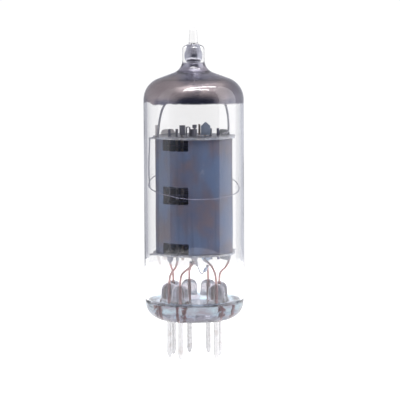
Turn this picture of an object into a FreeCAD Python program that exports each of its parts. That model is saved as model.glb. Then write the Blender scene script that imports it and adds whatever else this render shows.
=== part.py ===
import FreeCAD
import Part
import Sketcher
import math
import os
import re

# A seven-pin miniature receiving tube: a glass envelope on a pressed glass base, an electrode
# cage between two mica discs, and a getter under the dome.  Millimetres, +Z up.  The origin is on
# the tube's axis in the plane of the pin points; the gap in the pin circle faces -Y.

SIZES = (
    # contact pins
    ("pin_length", 7.1),
    ("pin_diameter", 1.02),
    ("pin_circle", 9.53),
    ("pin_step", 45),
    ("pin_taper", 0.9),
    ("pin_tip_diameter", 0.36),
    # glass base
    ("base_thickness", 3.2),
    ("base_corner", 3.4),
    ("mound_diameter", 3.2),
    ("mound_height", 3.6),
    ("mound_round", 1.1),
    ("seal_wire_diameter", 0.6),
    ("seal_wire_cover", 0.7),
    ("dimple_diameter", 1.3),
    ("dimple_depth", 0.1),
    # glass envelope
    ("bulb_diameter", 18.5),
    ("glass_wall", 0.55),
    ("rim_height", 0.5),
    ("rim_round", 0.4),
    ("dome_slope", 20),
    ("shoulder_radius", 4.15),
    ("flare_radius", 2.4),
    ("neck_diameter", 4.1),
    ("neck_length", 1.8),
    ("throat_diameter", 2.2),
    ("throat_round", 0.6),
    # exhaust tip
    ("tip_length", 5.8),
    ("tip_shoulder", 2.9),
    ("tip_fall", 0.5),
    ("nipple_diameter", 1.3),
    ("nipple_round", 0.6),
    ("nipple_flare", 0.2),
    ("nipple_fillet", 0.4),
    ("tip_round", 0.9),
    ("cavity_height", 2.6),
    ("cavity_round", 1.0),
    # cage
    ("stem_space", 9.1),
    ("mica_thickness", 0.3),
    ("mica_rim", 0.4),
    ("mica_ear_turn", 11),
    ("mica_ear_base", 5.05),
    ("mica_gap", 0.03),
    ("hole_gap", 0.05),
    ("plate_length", 21.1),
    ("plate_gap", 1.5),
    ("plate_wall", 0.2),
    ("window_turn", 48),
    ("window_width", 5.4),
    ("end_window_height", 2.1),
    ("middle_window_height", 3.2),
    ("middle_window_rise", 9.25),
    ("lug_width", 4.6),
    ("lug_end_width", 2.8),
    ("top_lug_height", 0.9),
    ("low_lug_height", 1.8),
    # cathode and heater
    ("cathode_diameter", 1.3),
    ("cathode_wall", 0.08),
    ("coating_wall", 0.06),
    ("cathode_stand", 1.2),
    ("heater_wire", 0.22),
    ("heater_spread", 0.46),
    ("heater_tail", 0.5),
    ("heater_head", 1),
    # grids
    ("rod_diameter", 0.5),
    ("rod_stand", 1.3),
    ("control_reach", 2.2),
    ("control_side", 1.05),
    ("control_pitch", 0.75),
    ("screen_reach", 3.2),
    ("screen_side", 1.9),
    ("screen_pitch", 1.0),
    ("suppressor_reach", 4.6),
    ("suppressor_side", 3.2),
    ("suppressor_pitch", 1.3),
    ("winding_wire", 0.1),
    ("winding_margin", 0.8),
    # sheet fins and strips
    ("strip_thickness", 0.12),
    ("fin_width", 1.8),
    ("fin_height", 2.5),
    ("fin_eaves", 1.8),
    ("fin_gap", 0.15),
    ("edge_fin_width", 1.1),
    ("edge_fin_height", 2.0),
    ("low_fin_width", 1.7),
    ("low_fin_height", 1.9),
    ("low_fin_shoulder", 1.15),
    ("strap_width", 0.4),
    ("strap_height", 2.1),
    ("strap_neck", 1.45),
    ("strap_head", 0.8),
    ("fold_width", 0.75),
    ("fold_height", 1.7),
    ("fold_round", 0.3),
    ("side_tab_width", 0.6),
    ("side_tab_height", 2.1),
    ("side_tab_inset", 0.3),
    ("heater_tab_width", 0.9),
    ("heater_tab_height", 1.1),
    # getter
    ("getter_space", 9.7),
    ("getter_wire", 0.4),
    ("getter_ring_diameter", 8.4),
    ("getter_rise", 7.6),
    ("getter_channel_width", 0.9),
    ("getter_channel_height", 0.72),
    ("getter_channel_wall", 0.15),
    ("getter_leg_inset", 0.45),
    ("getter_leg_foot", 1.3),
    ("flash_wall", 0.05),
    ("flash_gap", 0.01),
    ("flash_edge_drop", 3.55),
    # loose wires
    ("lead_diameter", 0.42),
    ("lead_clear", 0.9),
    ("weld_sink", 0.3),
    ("stub_length", 2.5),
    ("stub_lean", 0.25),
    ("link_wire", 0.2),
    ("bead_diameter", 0.6),
    ("hoop_gap", 1.3),
    ("hoop_wire", 0.16),
    ("hoop_tilt", 14),
    ("hoop_rise", 12.4),
)

document = FreeCAD.newDocument("VacuumTube")
sheet = document.addObject("Spreadsheet::Sheet", "Sizes")
NAMES = [name for name, value in SIZES]
for row, (name, value) in enumerate(SIZES, start=1):
    sheet.set("A" + str(row), name)
    sheet.set("B" + str(row), str(value))
    sheet.setAlias("B" + str(row), name)
document.recompute()

# Heights above the pin points, from the base upwards, and distances from the axis.
BASE_TOP = "(pin_length + base_thickness)"
MOUND_TOP = "(pin_length + base_thickness + mound_height)"
RIM_TOP = "(pin_length + base_thickness + rim_height)"
LOW_MICA = "(pin_length + base_thickness + stem_space)"
PLATE_LOW = "(" + LOW_MICA + " + mica_thickness)"
PLATE_TOP = "(" + PLATE_LOW + " + plate_length)"
CAGE_TOP = "(" + PLATE_TOP + " + mica_thickness)"
SHOULDER = "(" + CAGE_TOP + " + getter_space)"
BULB_INSIDE = "(bulb_diameter / 2 - glass_wall)"
PLATE_SIDE = "(bulb_diameter / 2 - glass_wall - plate_gap)"
HOOP_SIDE = "(" + PLATE_SIDE + " + hoop_gap)"
NECK_FOOT = "(" + SHOULDER + " + (bulb_diameter - neck_diameter) / 2 * tan(dome_slope))"
NECK_TOP = "(" + NECK_FOOT + " + neck_length)"

PIN_COUNT = 7
ARC_SHARE = 0.45
VOLUME_TOLERANCE = 0.03
WELD_SHARE = 0.75
LEG_BENDS = ((0.6, 0.24), (0.92, 0.6))
LINK_DIP = 0.5
BEAD_START = 0.55
BEAD_SHARE = 0.35
FIRST_PIN_ANGLE = -45.0
LUG_ANGLES = (21.0, 124.0)
ROD_HOLES = ("control_reach", "screen_reach", "suppressor_reach")

subparts = []


def bind(text):
    """The expression with every size's name turned into a reference to its cell."""
    def cell(word):
        return "Sizes." + word.group() if word.group() in NAMES else word.group()

    return re.sub("[a-z_]+", cell, text)


def number(text):
    """The value of an expression in sizes."""
    return float(sheet.evalExpression(bind(text)))


def point(across, along, up):
    """A point whose three coordinates are expressions in sizes."""
    return FreeCAD.Vector(number(across), number(along), number(up))


def keep(thing, label):
    """Marks a finished sub-part, which is written to a file of its own."""
    thing.Label = label
    subparts.append(thing)
    return thing


def add(kind, name, **sizes):
    """A document object of one kind, with its properties bound to expressions in sizes."""
    thing = document.addObject(kind, name)
    for key, text in sizes.items():
        thing.setExpression(key, bind(text))
    return thing


def place(thing, across="0", along="0", up="0", turn=0.0):
    """Puts an object at a point given by expressions, turned about Z by a fixed angle."""
    thing.Placement = FreeCAD.Placement(FreeCAD.Vector(), FreeCAD.Rotation(turn, 0, 0))
    for key, text in (("x", across), ("y", along), ("z", up)):
        if text != "0":
            thing.setExpression("Placement.Base." + key, bind(text))
    return thing


# Sketches and bodies


def sketch_on(body, role, lift="0"):
    """A sketch on one of the body's own origin planes, raised along the plane's normal."""
    plane = [item for item in body.Origin.OriginFeatures if item.Role == role][0]
    sketch = body.newObject("Sketcher::SketchObject", "Profile")
    sketch.AttachmentSupport = [(plane, "")]
    sketch.MapMode = "FlatFace"
    if lift != "0":
        sketch.setExpression("AttachmentOffset.Base.z", bind(lift))
    return sketch


def pin_down(sketch, geometry, across, up):
    """Fixes a point of the sketch at coordinates bound to expressions."""
    for kind, text in (("DistanceX", across), ("DistanceY", up)):
        rule = sketch.addConstraint(Sketcher.Constraint(kind, -1, 1, geometry, 1, number(text)))
        if text != "0":
            sketch.setExpression("Constraints[" + str(rule) + "]", bind(text))


def outline(sketch, corners):
    """A closed outline of straight sides; a corner's third value, if it has one, is its radius."""
    first = sketch.GeometryCount
    spots = [FreeCAD.Vector(number(corner[0]), number(corner[1]), 0) for corner in corners]
    count = len(corners)
    for i in range(count):
        sketch.addGeometry(Part.LineSegment(spots[i], spots[(i + 1) % count]), False)
    for i in range(count):
        sketch.addConstraint(Sketcher.Constraint("Coincident", first + i, 2, first + (i + 1) % count, 1))
    marks = [first + i for i in range(count)]
    arcs = []
    for i, corner in enumerate(corners):
        if len(corner) > 2:
            sketch.fillet(first + i, 1, number(corner[2]), True, True)
            arcs.append((sketch.GeometryCount - 2, corner[2]))
            marks[i] = sketch.GeometryCount - 1
    for i, corner in enumerate(corners):
        pin_down(sketch, marks[i], corner[0], corner[1])
    for arc, radius in arcs:
        rule = sketch.addConstraint(Sketcher.Constraint("Radius", arc, number(radius)))
        sketch.setExpression("Constraints[" + str(rule) + "]", bind(radius))


def circle(sketch, across, along, diameter):
    """A circle centred at expressions, with its diameter bound to one."""
    middle = FreeCAD.Vector(number(across), number(along), 0)
    edge = sketch.addGeometry(Part.Circle(middle, FreeCAD.Vector(0, 0, 1), number(diameter) / 2), False)
    for kind, text in (("DistanceX", across), ("DistanceY", along)):
        rule = sketch.addConstraint(Sketcher.Constraint(kind, -1, 1, edge, 3, number(text)))
        if text != "0":
            sketch.setExpression("Constraints[" + str(rule) + "]", bind(text))
    rule = sketch.addConstraint(Sketcher.Constraint("Diameter", edge, number(diameter)))
    sketch.setExpression("Constraints[" + str(rule) + "]", bind(diameter))


def new_body(name):
    return document.addObject("PartDesign::Body", name)


def revolve(body, corners, kind="PartDesign::Revolution", axis="V_Axis"):
    """Turns an outline in the XZ plane about the body's Z axis or the sketch's own axis line."""
    sketch = sketch_on(body, "XZ_Plane")
    outline(sketch, corners)
    if axis == "Axis0":
        low = point("pin_circle / 2", "0", "0")
        high = FreeCAD.Vector(low.x, 1, 0)
        line = sketch.addGeometry(Part.LineSegment(FreeCAD.Vector(low.x, 0, 0), high), True)
        pin_down(sketch, line, "pin_circle / 2", "0")
        sketch.addConstraint(Sketcher.Constraint("Vertical", line))
        sketch.addConstraint(Sketcher.Constraint("Distance", line, 1.0))
    feature = body.newObject(kind, "Turned")
    feature.Profile = sketch
    feature.ReferenceAxis = (sketch, [axis])
    feature.Angle = 360
    sketch.Visibility = False
    return feature


def pad(body, sketch, length):
    feature = body.newObject("PartDesign::Pad", "Pad")
    feature.Profile = sketch
    feature.setExpression("Length", bind(length))
    return feature


def pocket(body, sketch, length):
    """Cuts upwards from the sketch's plane."""
    feature = body.newObject("PartDesign::Pocket", "Pocket")
    feature.Profile = sketch
    feature.Reversed = True
    feature.setExpression("Length", bind(length))
    return feature


def ring_of_seven(body, feature):
    """Repeats a feature at each pin, leaving the eighth place empty."""
    pattern = body.newObject("PartDesign::PolarPattern", "Around")
    pattern.Originals = [feature]
    axis = [item for item in body.Origin.OriginFeatures if item.Role == "Z_Axis"][0]
    pattern.Axis = (axis, [""])
    pattern.setExpression("Angle", bind("pin_step * " + str(PIN_COUNT - 1)))
    pattern.Occurrences = PIN_COUNT
    body.Tip = pattern
    return pattern


# Round wires


def rounded_path(points):
    """Straight runs joined by tangent arcs, each as large as its two runs allow."""
    edges = []
    start = points[0]
    for before, corner, after in zip(points, points[1:], points[2:]):
        into = corner - before
        out = after - corner
        turn = into.getAngle(out)
        reach = ARC_SHARE * min(into.Length, out.Length)
        radius = reach / math.tan(turn / 2)
        into.normalize()
        out.normalize()
        inward = out - into
        inward.normalize()
        first = corner - into * reach
        last = corner + out * reach
        middle = corner + inward * (radius / math.cos(turn / 2) - radius)
        edges.append(Part.LineSegment(start, first).toShape())
        edges.append(Part.Arc(first, middle, last).toShape())
        start = last
    edges.append(Part.LineSegment(start, points[-1]).toShape())
    return Part.Wire(edges)


def swept(path, diameter):
    """A round wire along a path, checked against its section times its length."""
    edge = path.OrderedEdges[0]
    start = edge.valueAt(edge.FirstParameter)
    heading = edge.tangentAt(edge.FirstParameter)
    section = Part.Wire([Part.Circle(start, heading, diameter / 2).toShape()])
    solid = path.makePipeShell([section], True, False)
    expected = path.Length * math.pi * diameter**2 / 4
    if abs(solid.Volume - expected) > VOLUME_TOLERANCE * expected:
        raise ValueError("a wire's volume differs from its section times its length")
    return solid


def wire_part(label, points, diameter, welded_to=()):
    """A bent round wire through the given points, its ends cut to the pieces that it is welded to."""
    solid = swept(rounded_path(points), number(diameter))
    for name in welded_to:
        piece = [thing for thing in subparts if thing.Label == name][0]
        solid = solid.cut(piece.Shape)
    feature = document.addObject("Part::Feature", label)
    feature.Shape = max(solid.Solids, key=lambda piece: piece.Volume)
    return keep(feature, label)


# Base and envelope


def pin_place(index):
    """How far a numbered pin stands from the axis, across and along."""
    angle = "(" + str(FIRST_PIN_ANGLE) + " + pin_step * " + str(index - 1) + ")"
    return "pin_circle / 2 * cos" + angle, "pin_circle / 2 * sin" + angle


def button_stem():
    """Pressed glass base: a disc with a turned-up rim, a mound of glass round each lead and a
    shallow dimple round each pin, which keeps the seat for a socket clear of the pins."""
    body = new_body("button_stem")
    body.Placement = FreeCAD.Placement(FreeCAD.Vector(), FreeCAD.Rotation(FIRST_PIN_ANGLE, 0, 0))
    disc = [
        ("0", "pin_length"),
        ("bulb_diameter / 2", "pin_length", "min(base_corner; base_thickness)"),
        ("bulb_diameter / 2", RIM_TOP),
        (BULB_INSIDE, RIM_TOP),
        (BULB_INSIDE, BASE_TOP, "min(rim_round; rim_height * 0.8)"),
        ("0", BASE_TOP),
    ]
    revolve(body, disc)
    outside = "(pin_circle / 2 + mound_diameter / 2)"
    mound = [
        ("pin_circle / 2", "pin_length + base_thickness / 2"),
        (outside, "pin_length + base_thickness / 2"),
        (outside, MOUND_TOP, "mound_round"),
        ("pin_circle / 2", MOUND_TOP),
    ]
    ring_of_seven(body, revolve(body, mound, axis="Axis0"))
    seal_side = "pin_circle / 2 + seal_wire_diameter / 2"
    lead_side = "pin_circle / 2 + lead_diameter / 2"
    bore = [
        ("pin_circle / 2", "pin_length"),
        ("pin_circle / 2 + dimple_diameter / 2", "pin_length"),
        (seal_side, "pin_length + dimple_depth"),
        (seal_side, MOUND_TOP + " - seal_wire_cover"),
        (lead_side, MOUND_TOP + " - seal_wire_cover"),
        (lead_side, MOUND_TOP),
        ("pin_circle / 2", MOUND_TOP),
    ]
    ring_of_seven(body, revolve(body, bore, kind="PartDesign::Groove", axis="Axis0"))
    return keep(body, "button_stem")


def contact_pins():
    """Seven hard nickel pins with pointed ends, each a turned piece of its own."""
    for i in range(PIN_COUNT):
        body = new_body("contact_pin_" + str(i + 1))
        corners = [
            ("0", "0"),
            ("pin_tip_diameter / 2", "0"),
            ("pin_diameter / 2", "pin_taper"),
            ("pin_diameter / 2", "pin_length"),
            ("0", "pin_length"),
        ]
        revolve(body, corners)
        place(body, *pin_place(i + 1))
        keep(body, "contact_pin_" + str(i + 1))


def seal_wires():
    """Copper-sheathed wires that carry each pin through the glass, one solid to a pin."""
    wires = []
    for i in range(PIN_COUNT):
        length = "base_thickness + mound_height - seal_wire_cover"
        wire = add("Part::Cylinder", "SealWire", Radius="seal_wire_diameter / 2", Height=length)
        place(wire, *pin_place(i + 1), "pin_length")
        wires.append(wire)
    group = document.addObject("Part::Compound", "seal_wires")
    group.Links = wires
    return keep(group, "seal_wires")


def glass_bulb():
    """Blown envelope: a straight wall, a rounded shoulder, a sloping dome and a flared neck."""
    body = new_body("glass_bulb")
    inside_shoulder = SHOULDER + " + glass_wall * tan(dome_slope) - glass_wall / cos(dome_slope)"
    inside_foot = inside_shoulder + " + (" + BULB_INSIDE + " - throat_diameter / 2) * tan(dome_slope)"
    corners = [
        (BULB_INSIDE, RIM_TOP),
        ("bulb_diameter / 2", RIM_TOP),
        ("bulb_diameter / 2", SHOULDER, "shoulder_radius"),
        ("neck_diameter / 2", NECK_FOOT, "flare_radius"),
        ("neck_diameter / 2", NECK_TOP),
        ("throat_diameter / 2", NECK_TOP),
        ("throat_diameter / 2", inside_foot, "throat_round"),
        (BULB_INSIDE, inside_shoulder, "shoulder_radius - glass_wall"),
    ]
    revolve(body, corners)
    return keep(body, "glass_bulb")


def exhaust_tip():
    """The stub of the exhaust tube, drawn out to a nipple where it was sealed off."""
    body = new_body("exhaust_tip")
    top = NECK_TOP + " + tip_length"
    corners = [
        ("0", top),
        ("nipple_diameter / 2", top, "nipple_round"),
        ("nipple_diameter / 2 + nipple_flare", NECK_TOP + " + tip_shoulder", "nipple_fillet"),
        ("neck_diameter / 2", NECK_TOP + " + tip_shoulder - tip_fall", "tip_round"),
        ("neck_diameter / 2", NECK_TOP),
        ("throat_diameter / 2", NECK_TOP),
        ("throat_diameter / 2", NECK_TOP + " + cavity_height", "cavity_round"),
        ("0", NECK_TOP + " + cavity_height"),
    ]
    revolve(body, corners)
    return keep(body, "exhaust_tip")


def getter_flash():
    """Mirror-like metal film on the inside of the dome, down to a line below the shoulder."""
    body = new_body("getter_flash")
    edge = "(throat_diameter / 2 + throat_round)"
    low = SHOULDER + " - flash_edge_drop"
    faces = []
    for depth in ("(glass_wall + flash_gap)", "(glass_wall + flash_gap + flash_wall)"):
        across = "(bulb_diameter / 2 - " + depth + ")"
        shoulder = SHOULDER + " + " + depth + " * (tan(dome_slope) - 1 / cos(dome_slope))"
        top = shoulder + " + (" + across + " - " + edge + ") * tan(dome_slope)"
        faces.append([(across, low), (across, shoulder, "shoulder_radius - " + depth), (edge, top)])
    corners = faces[0] + faces[1][::-1]
    revolve(body, corners)
    return keep(body, "getter_flash")


def tip_flash():
    """The same film lining the small cavity in the exhaust tip."""
    body = new_body("tip_flash")
    outside = "(throat_diameter / 2 - flash_gap)"
    inside = "(throat_diameter / 2 - flash_gap - flash_wall)"
    top = NECK_TOP + " + cavity_height - flash_gap"
    corners = [
        ("0", top),
        (outside, top, "cavity_round - flash_gap"),
        (outside, NECK_TOP),
        (inside, NECK_TOP),
        (inside, top + " - flash_wall", "cavity_round - flash_gap - flash_wall"),
        ("0", top + " - flash_wall"),
    ]
    revolve(body, corners)
    return keep(body, "tip_flash")


# Cage


def mica(label, level):
    """Spacer disc with two pointed ears that touch the glass, punched for rods, cathode and lugs."""
    body = new_body(label)
    disc = sketch_on(body, "XY_Plane", level)
    circle(disc, "0", "0", "2 * (" + PLATE_SIDE + " + mica_rim)")
    pad(body, disc, "mica_thickness")
    ears = sketch_on(body, "XY_Plane", level)
    reach = "(" + BULB_INSIDE + " - mica_gap)"
    corners = []
    for turn, length in ((0, reach), (90, "mica_ear_base"), (180, reach), (270, "mica_ear_base")):
        direction = "(mica_ear_turn + " + str(turn) + ")"
        corners.append((length + " * cos" + direction, length + " * sin" + direction))
    outline(ears, corners)
    pad(body, ears, "mica_thickness")
    holes = sketch_on(body, "XY_Plane", level)
    circle(holes, "0", "0", "cathode_diameter + 2 * hole_gap")
    for place_name in ROD_HOLES:
        for side in ("", "-"):
            circle(holes, side + place_name, "0", "rod_diameter + 2 * hole_gap")
    pocket(body, holes, "mica_thickness")
    slots = sketch_on(body, "XY_Plane", level)
    near = "(" + PLATE_SIDE + " - plate_wall - hole_gap)"
    far = "(" + PLATE_SIDE + " + 1.5 * hole_gap)"
    spread = "asin((lug_width / 2 + 2 * hole_gap) / " + PLATE_SIDE + ")"
    for angle in LUG_ANGLES:
        corners = []
        for radius, shares in ((far, (-1, -0.5, 0, 0.5, 1)), (near, (1, -1))):
            for share in shares:
                direction = "(" + str(angle) + " deg + " + str(share) + " * " + spread + ")"
                corners.append((radius + " * cos" + direction, radius + " * sin" + direction))
        outline(slots, corners)
    pocket(body, slots, "mica_thickness")
    return keep(body, label)


def lug(name, angle, upward):
    """A trapezoid tab of the plate's own wall that passes through a mica slot."""
    height = "(mica_thickness + " + ("top_lug_height)" if upward else "low_lug_height)")
    tab = document.addObject("Part::Wedge", name)
    for key, width in (("X", "lug_width"), ("X2", "lug_end_width")):
        tab.setExpression(key + "min", bind("-" + width + " / 2"))
        tab.setExpression(key + "max", bind(width + " / 2"))
    for key, text in (("Zmax", "bulb_diameter"), ("Z2max", "bulb_diameter"), ("Ymax", height)):
        tab.setExpression(key, bind(text))
    for key in ("Ymin", "Zmin", "Z2min"):
        setattr(tab, key, 0)
    outward = FreeCAD.Rotation(FreeCAD.Vector(0, 0, 1), angle - 90)
    rise = FreeCAD.Rotation(FreeCAD.Vector(1, 0, 0), -90 if not upward else 90)
    spin = FreeCAD.Rotation(FreeCAD.Vector(0, 0, 1), 0 if not upward else 180)
    tab.Placement = FreeCAD.Placement(FreeCAD.Vector(), outward.multiply(spin).multiply(rise))
    tab.setExpression("Placement.Base.z", bind(PLATE_TOP if upward else PLATE_LOW))
    return tab


def plate():
    """Rolled sheet-metal cylinder with three windows on each side and lugs through the micas."""
    tabs = []
    for angle in LUG_ANGLES:
        tabs.append(lug("TopLug", angle, True))
        tabs.append(lug("LowLug", angle, False))
    zone = document.addObject("Part::MultiFuse", "LugZone")
    zone.Shapes = tabs
    outer = add("Part::Cylinder", "Outer", Radius=PLATE_SIDE, Height="plate_length")
    place(outer, up=PLATE_LOW)
    tall = "plate_length + 2 * mica_thickness + top_lug_height + low_lug_height"
    whole = add("Part::Cylinder", "LugStock", Radius=PLATE_SIDE, Height=tall)
    place(whole, up=PLATE_LOW + " - mica_thickness - low_lug_height")
    stock = document.addObject("Part::MultiCommon", "LugSolids")
    stock.Shapes = [whole, zone]
    solid = document.addObject("Part::MultiFuse", "PlateSolid")
    solid.Shapes = [outer, stock]
    hollow = add("Part::Cylinder", "Hollow", Radius=PLATE_SIDE + " - plate_wall", Height=tall)
    place(hollow, up=PLATE_LOW + " - mica_thickness - low_lug_height")
    cuts = [hollow]
    rises = (
        ("0", "end_window_height"),
        ("middle_window_rise", "middle_window_height"),
        ("plate_length - end_window_height", "end_window_height"),
    )
    for rise, height in rises:
        window = add("Part::Box", "Window", Length="2 * bulb_diameter", Width="window_width", Height=height)
        back = "(window_width / 2 * sin(window_turn) - bulb_diameter * cos(window_turn))"
        side = "(-window_width / 2 * cos(window_turn) - bulb_diameter * sin(window_turn))"
        cuts.append(place(window, back, side, PLATE_LOW + " + " + rise, number("window_turn")))
    tools = document.addObject("Part::MultiFuse", "PlateCuts")
    tools.Shapes = cuts
    cut = document.addObject("Part::Cut", "plate")
    cut.Base = solid
    cut.Tool = tools
    return keep(cut, "plate")


def rod_pair(label, reach):
    """The two upright rods of one grid."""
    height = "plate_length + 2 * mica_thickness + 2 * rod_stand"
    rods = []
    for side in ("", "-"):
        rod = add("Part::Cylinder", "Rod", Radius="rod_diameter / 2", Height=height)
        place(rod, side + reach, "0", LOW_MICA + " - rod_stand")
        rods.append(rod)
    group = document.addObject("Part::Compound", label)
    group.Links = rods
    return keep(group, label)


def winding(label, reach, side, pitch):
    """The lateral wires of one grid: flattened turns that pass round the outside of its rods."""
    wire = number("winding_wire")
    bend = number(side)
    middle = number(reach + " + rod_diameter / 2 + winding_wire / 2") - bend
    low = number(PLATE_LOW + " + winding_margin")
    span = number("plate_length - 2 * winding_margin")
    count = int(span / number(pitch)) + 1
    right = FreeCAD.Vector(middle + bend, 0, 0)
    left = FreeCAD.Vector(-middle - bend, 0, 0)
    places = ((middle, -bend), (middle, bend), (-middle, bend), (-middle, -bend))
    corners = [FreeCAD.Vector(x, y, 0) for x, y in places]
    edges = [
        Part.Arc(corners[0], right, corners[1]).toShape(),
        Part.LineSegment(corners[1], corners[2]).toShape(),
        Part.Arc(corners[2], left, corners[3]).toShape(),
        Part.LineSegment(corners[3], corners[0]).toShape(),
    ]
    turn = swept(Part.Wire(edges), wire)
    turns = [turn.translated(FreeCAD.Vector(0, 0, low + i * number(pitch))) for i in range(count)]
    feature = document.addObject("Part::Feature", label)
    feature.Shape = Part.makeCompound(turns)
    return keep(feature, label)


def grids():
    for name in ("control", "screen", "suppressor"):
        rod_pair(name + "_grid_rods", name + "_reach")
        winding(name + "_grid_winding", name + "_reach", name + "_side", name + "_pitch")


def tube(label, outside, wall, low, height):
    """A plain round tube on the axis, made from two outline circles."""
    body = new_body(label)
    sketch = sketch_on(body, "XY_Plane", low)
    circle(sketch, "0", "0", outside)
    circle(sketch, "0", "0", outside + " - 2 * " + wall)
    pad(body, sketch, height)
    return keep(body, label)


def cathode():
    """Nickel sleeve through both micas, with its white oxide coating between them."""
    sleeve_height = "plate_length + 2 * mica_thickness + 2 * cathode_stand"
    tube("cathode_sleeve", "cathode_diameter", "cathode_wall", LOW_MICA + " - cathode_stand", sleeve_height)
    coated = "(cathode_diameter + 2 * coating_wall)"
    low = PLATE_LOW + " + winding_margin"
    tube("cathode_coating", coated, "coating_wall", low, "plate_length - 2 * winding_margin")


def heater():
    """Folded heater wire inside the cathode, with its two ends coming out below."""
    reach = "heater_spread / 2"
    low = LOW_MICA + " - cathode_stand - heater_tail"
    high = PLATE_TOP + " - heater_head"
    corners = (("-" + reach, low), ("-" + reach, high), (reach, high), (reach, low))
    wire_part("heater", [point(across, "0", up) for across, up in corners], "heater_wire")


def sheet_piece(label, corners, thickness, turn, across, along, up):
    """A flat piece of strip standing on edge: an outline in the XZ plane, padded both ways."""
    body = new_body(label)
    sketch = sketch_on(body, "XZ_Plane")
    outline(sketch, corners)
    feature = pad(body, sketch, thickness)
    feature.Midplane = True
    place(body, across, along, up, turn)
    return keep(body, label)


def rectangle(width, low, high):
    half = width + " / 2"
    return [("-" + half, low), (half, low), (half, high), ("-" + half, high)]


def fins():
    """Radiator fins and strips welded to the rod ends above and below the micas."""
    house = [
        ("-fin_width / 2", "fin_gap"),
        ("fin_width / 2", "fin_gap"),
        ("fin_width / 2", "fin_eaves"),
        ("0", "fin_height"),
        ("-fin_width / 2", "fin_eaves"),
    ]
    face = "-(rod_diameter / 2 + strip_thickness / 2)"
    sheet_piece("control_grid_fin", house, "strip_thickness", 0, "control_reach", face, CAGE_TOP)
    edge = rectangle("edge_fin_width", "fin_gap", "edge_fin_height")
    sheet_piece("edge_fin", edge, "strip_thickness", 0, "-control_reach", face, CAGE_TOP)
    pointed = [
        ("-low_fin_width / 2", "-fin_gap"),
        ("-low_fin_width / 2", "-low_fin_shoulder"),
        ("0", "-low_fin_height"),
        ("low_fin_width / 2", "-low_fin_shoulder"),
        ("low_fin_width / 2", "-fin_gap"),
    ]
    sheet_piece("control_grid_low_fin", pointed, "strip_thickness", 0, "control_reach", face, LOW_MICA)
    narrow = [(across.replace("low_fin_width", "edge_fin_width"), up) for across, up in pointed]
    sheet_piece("suppressor_low_fin", narrow, "strip_thickness", 0, "-suppressor_reach", face, LOW_MICA)


def straps():
    """Thin strips round the cathode's two ends, and the tabs that stand beside the plate."""
    sleeve_side = "(cathode_diameter / 2 + strip_thickness / 2)"
    head = [
        ("-strap_width / 2", "fin_gap"),
        ("strap_width / 2", "fin_gap"),
        ("strap_width / 2", "strap_neck"),
        ("strap_head / 2", "strap_neck"),
        ("strap_head / 2", "strap_height"),
        ("-strap_head / 2", "strap_height"),
        ("-strap_head / 2", "strap_neck"),
        ("-strap_width / 2", "strap_neck"),
    ]
    sheet_piece("cathode_strap", head, "strip_thickness", 0, "0", "-" + sleeve_side, CAGE_TOP)
    inner_top = "fold_height - strip_thickness"
    inner_round = "fold_round - strip_thickness"
    fold = [
        ("-fold_width / 2", "hole_gap"),
        ("strip_thickness - fold_width / 2", "hole_gap"),
        ("strip_thickness - fold_width / 2", inner_top, inner_round),
        ("fold_width / 2 - strip_thickness", inner_top, inner_round),
        ("fold_width / 2 - strip_thickness", "hole_gap"),
        ("fold_width / 2", "hole_gap"),
        ("fold_width / 2", "fold_height", "fold_round"),
        ("-fold_width / 2", "fold_height", "fold_round"),
    ]
    beside_sleeve = "(cathode_diameter / 2 + fold_width / 2 + hole_gap)"
    sheet_piece("folded_strap", fold, "strap_head", 0, "-" + beside_sleeve, "0", CAGE_TOP)
    upright = rectangle("strap_width", "fin_gap", "strap_height")
    sheet_piece("upright_strap", upright, "strip_thickness", 0, beside_sleeve, "0", CAGE_TOP)
    hanging = rectangle("strap_width", "-strap_height", "-fin_gap")
    sheet_piece("cathode_tab", hanging, "strip_thickness", 0, "0", "-" + sleeve_side, LOW_MICA)
    tab_top = "-cathode_stand - fin_gap"
    tab = rectangle("heater_tab_width", tab_top + " - heater_tab_height", tab_top)
    beside_heater = "(heater_spread / 2 + heater_wire / 2 + strip_thickness / 2)"
    sheet_piece("heater_tab_left", tab, "strip_thickness", 90, "-" + beside_heater, "0", LOW_MICA)
    sheet_piece("heater_tab_right", tab, "strip_thickness", 90, beside_heater, "0", LOW_MICA)
    standing = rectangle("side_tab_width", "0", "side_tab_height")
    beside_plate = "side_tab_inset - " + PLATE_SIDE
    sheet_piece("getter_tab", standing, "strip_thickness", 0, beside_plate, "0", CAGE_TOP)
    drooping = [
        ("-side_tab_width / 2", "0"),
        ("side_tab_width / 2", "0"),
        ("side_tab_width", "-side_tab_height"),
        ("side_tab_width / 2", "-side_tab_height"),
    ]
    sheet_piece("plate_tab", drooping, "strip_thickness", 0, beside_plate, "0", LOW_MICA)


# Getter


def getter_ring():
    """Open channel ring that held the getter metal, facing the dome."""
    body = new_body("getter_ring")
    low = CAGE_TOP + " + getter_rise"
    middle = "getter_ring_diameter / 2"
    half = "getter_channel_width / 2"
    wall = "getter_channel_wall"
    top = low + " + getter_channel_height"
    corners = [
        (middle + " - " + half, low),
        (middle + " + " + half, low),
        (middle + " + " + half, top),
        (middle + " + " + half + " - " + wall, top),
        (middle + " + " + half + " - " + wall, low + " + " + wall),
        (middle + " - " + half + " + " + wall, low + " + " + wall),
        (middle + " - " + half + " + " + wall, top),
        (middle + " - " + half, top),
    ]
    revolve(body, corners)
    return keep(body, "getter_ring")


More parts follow.
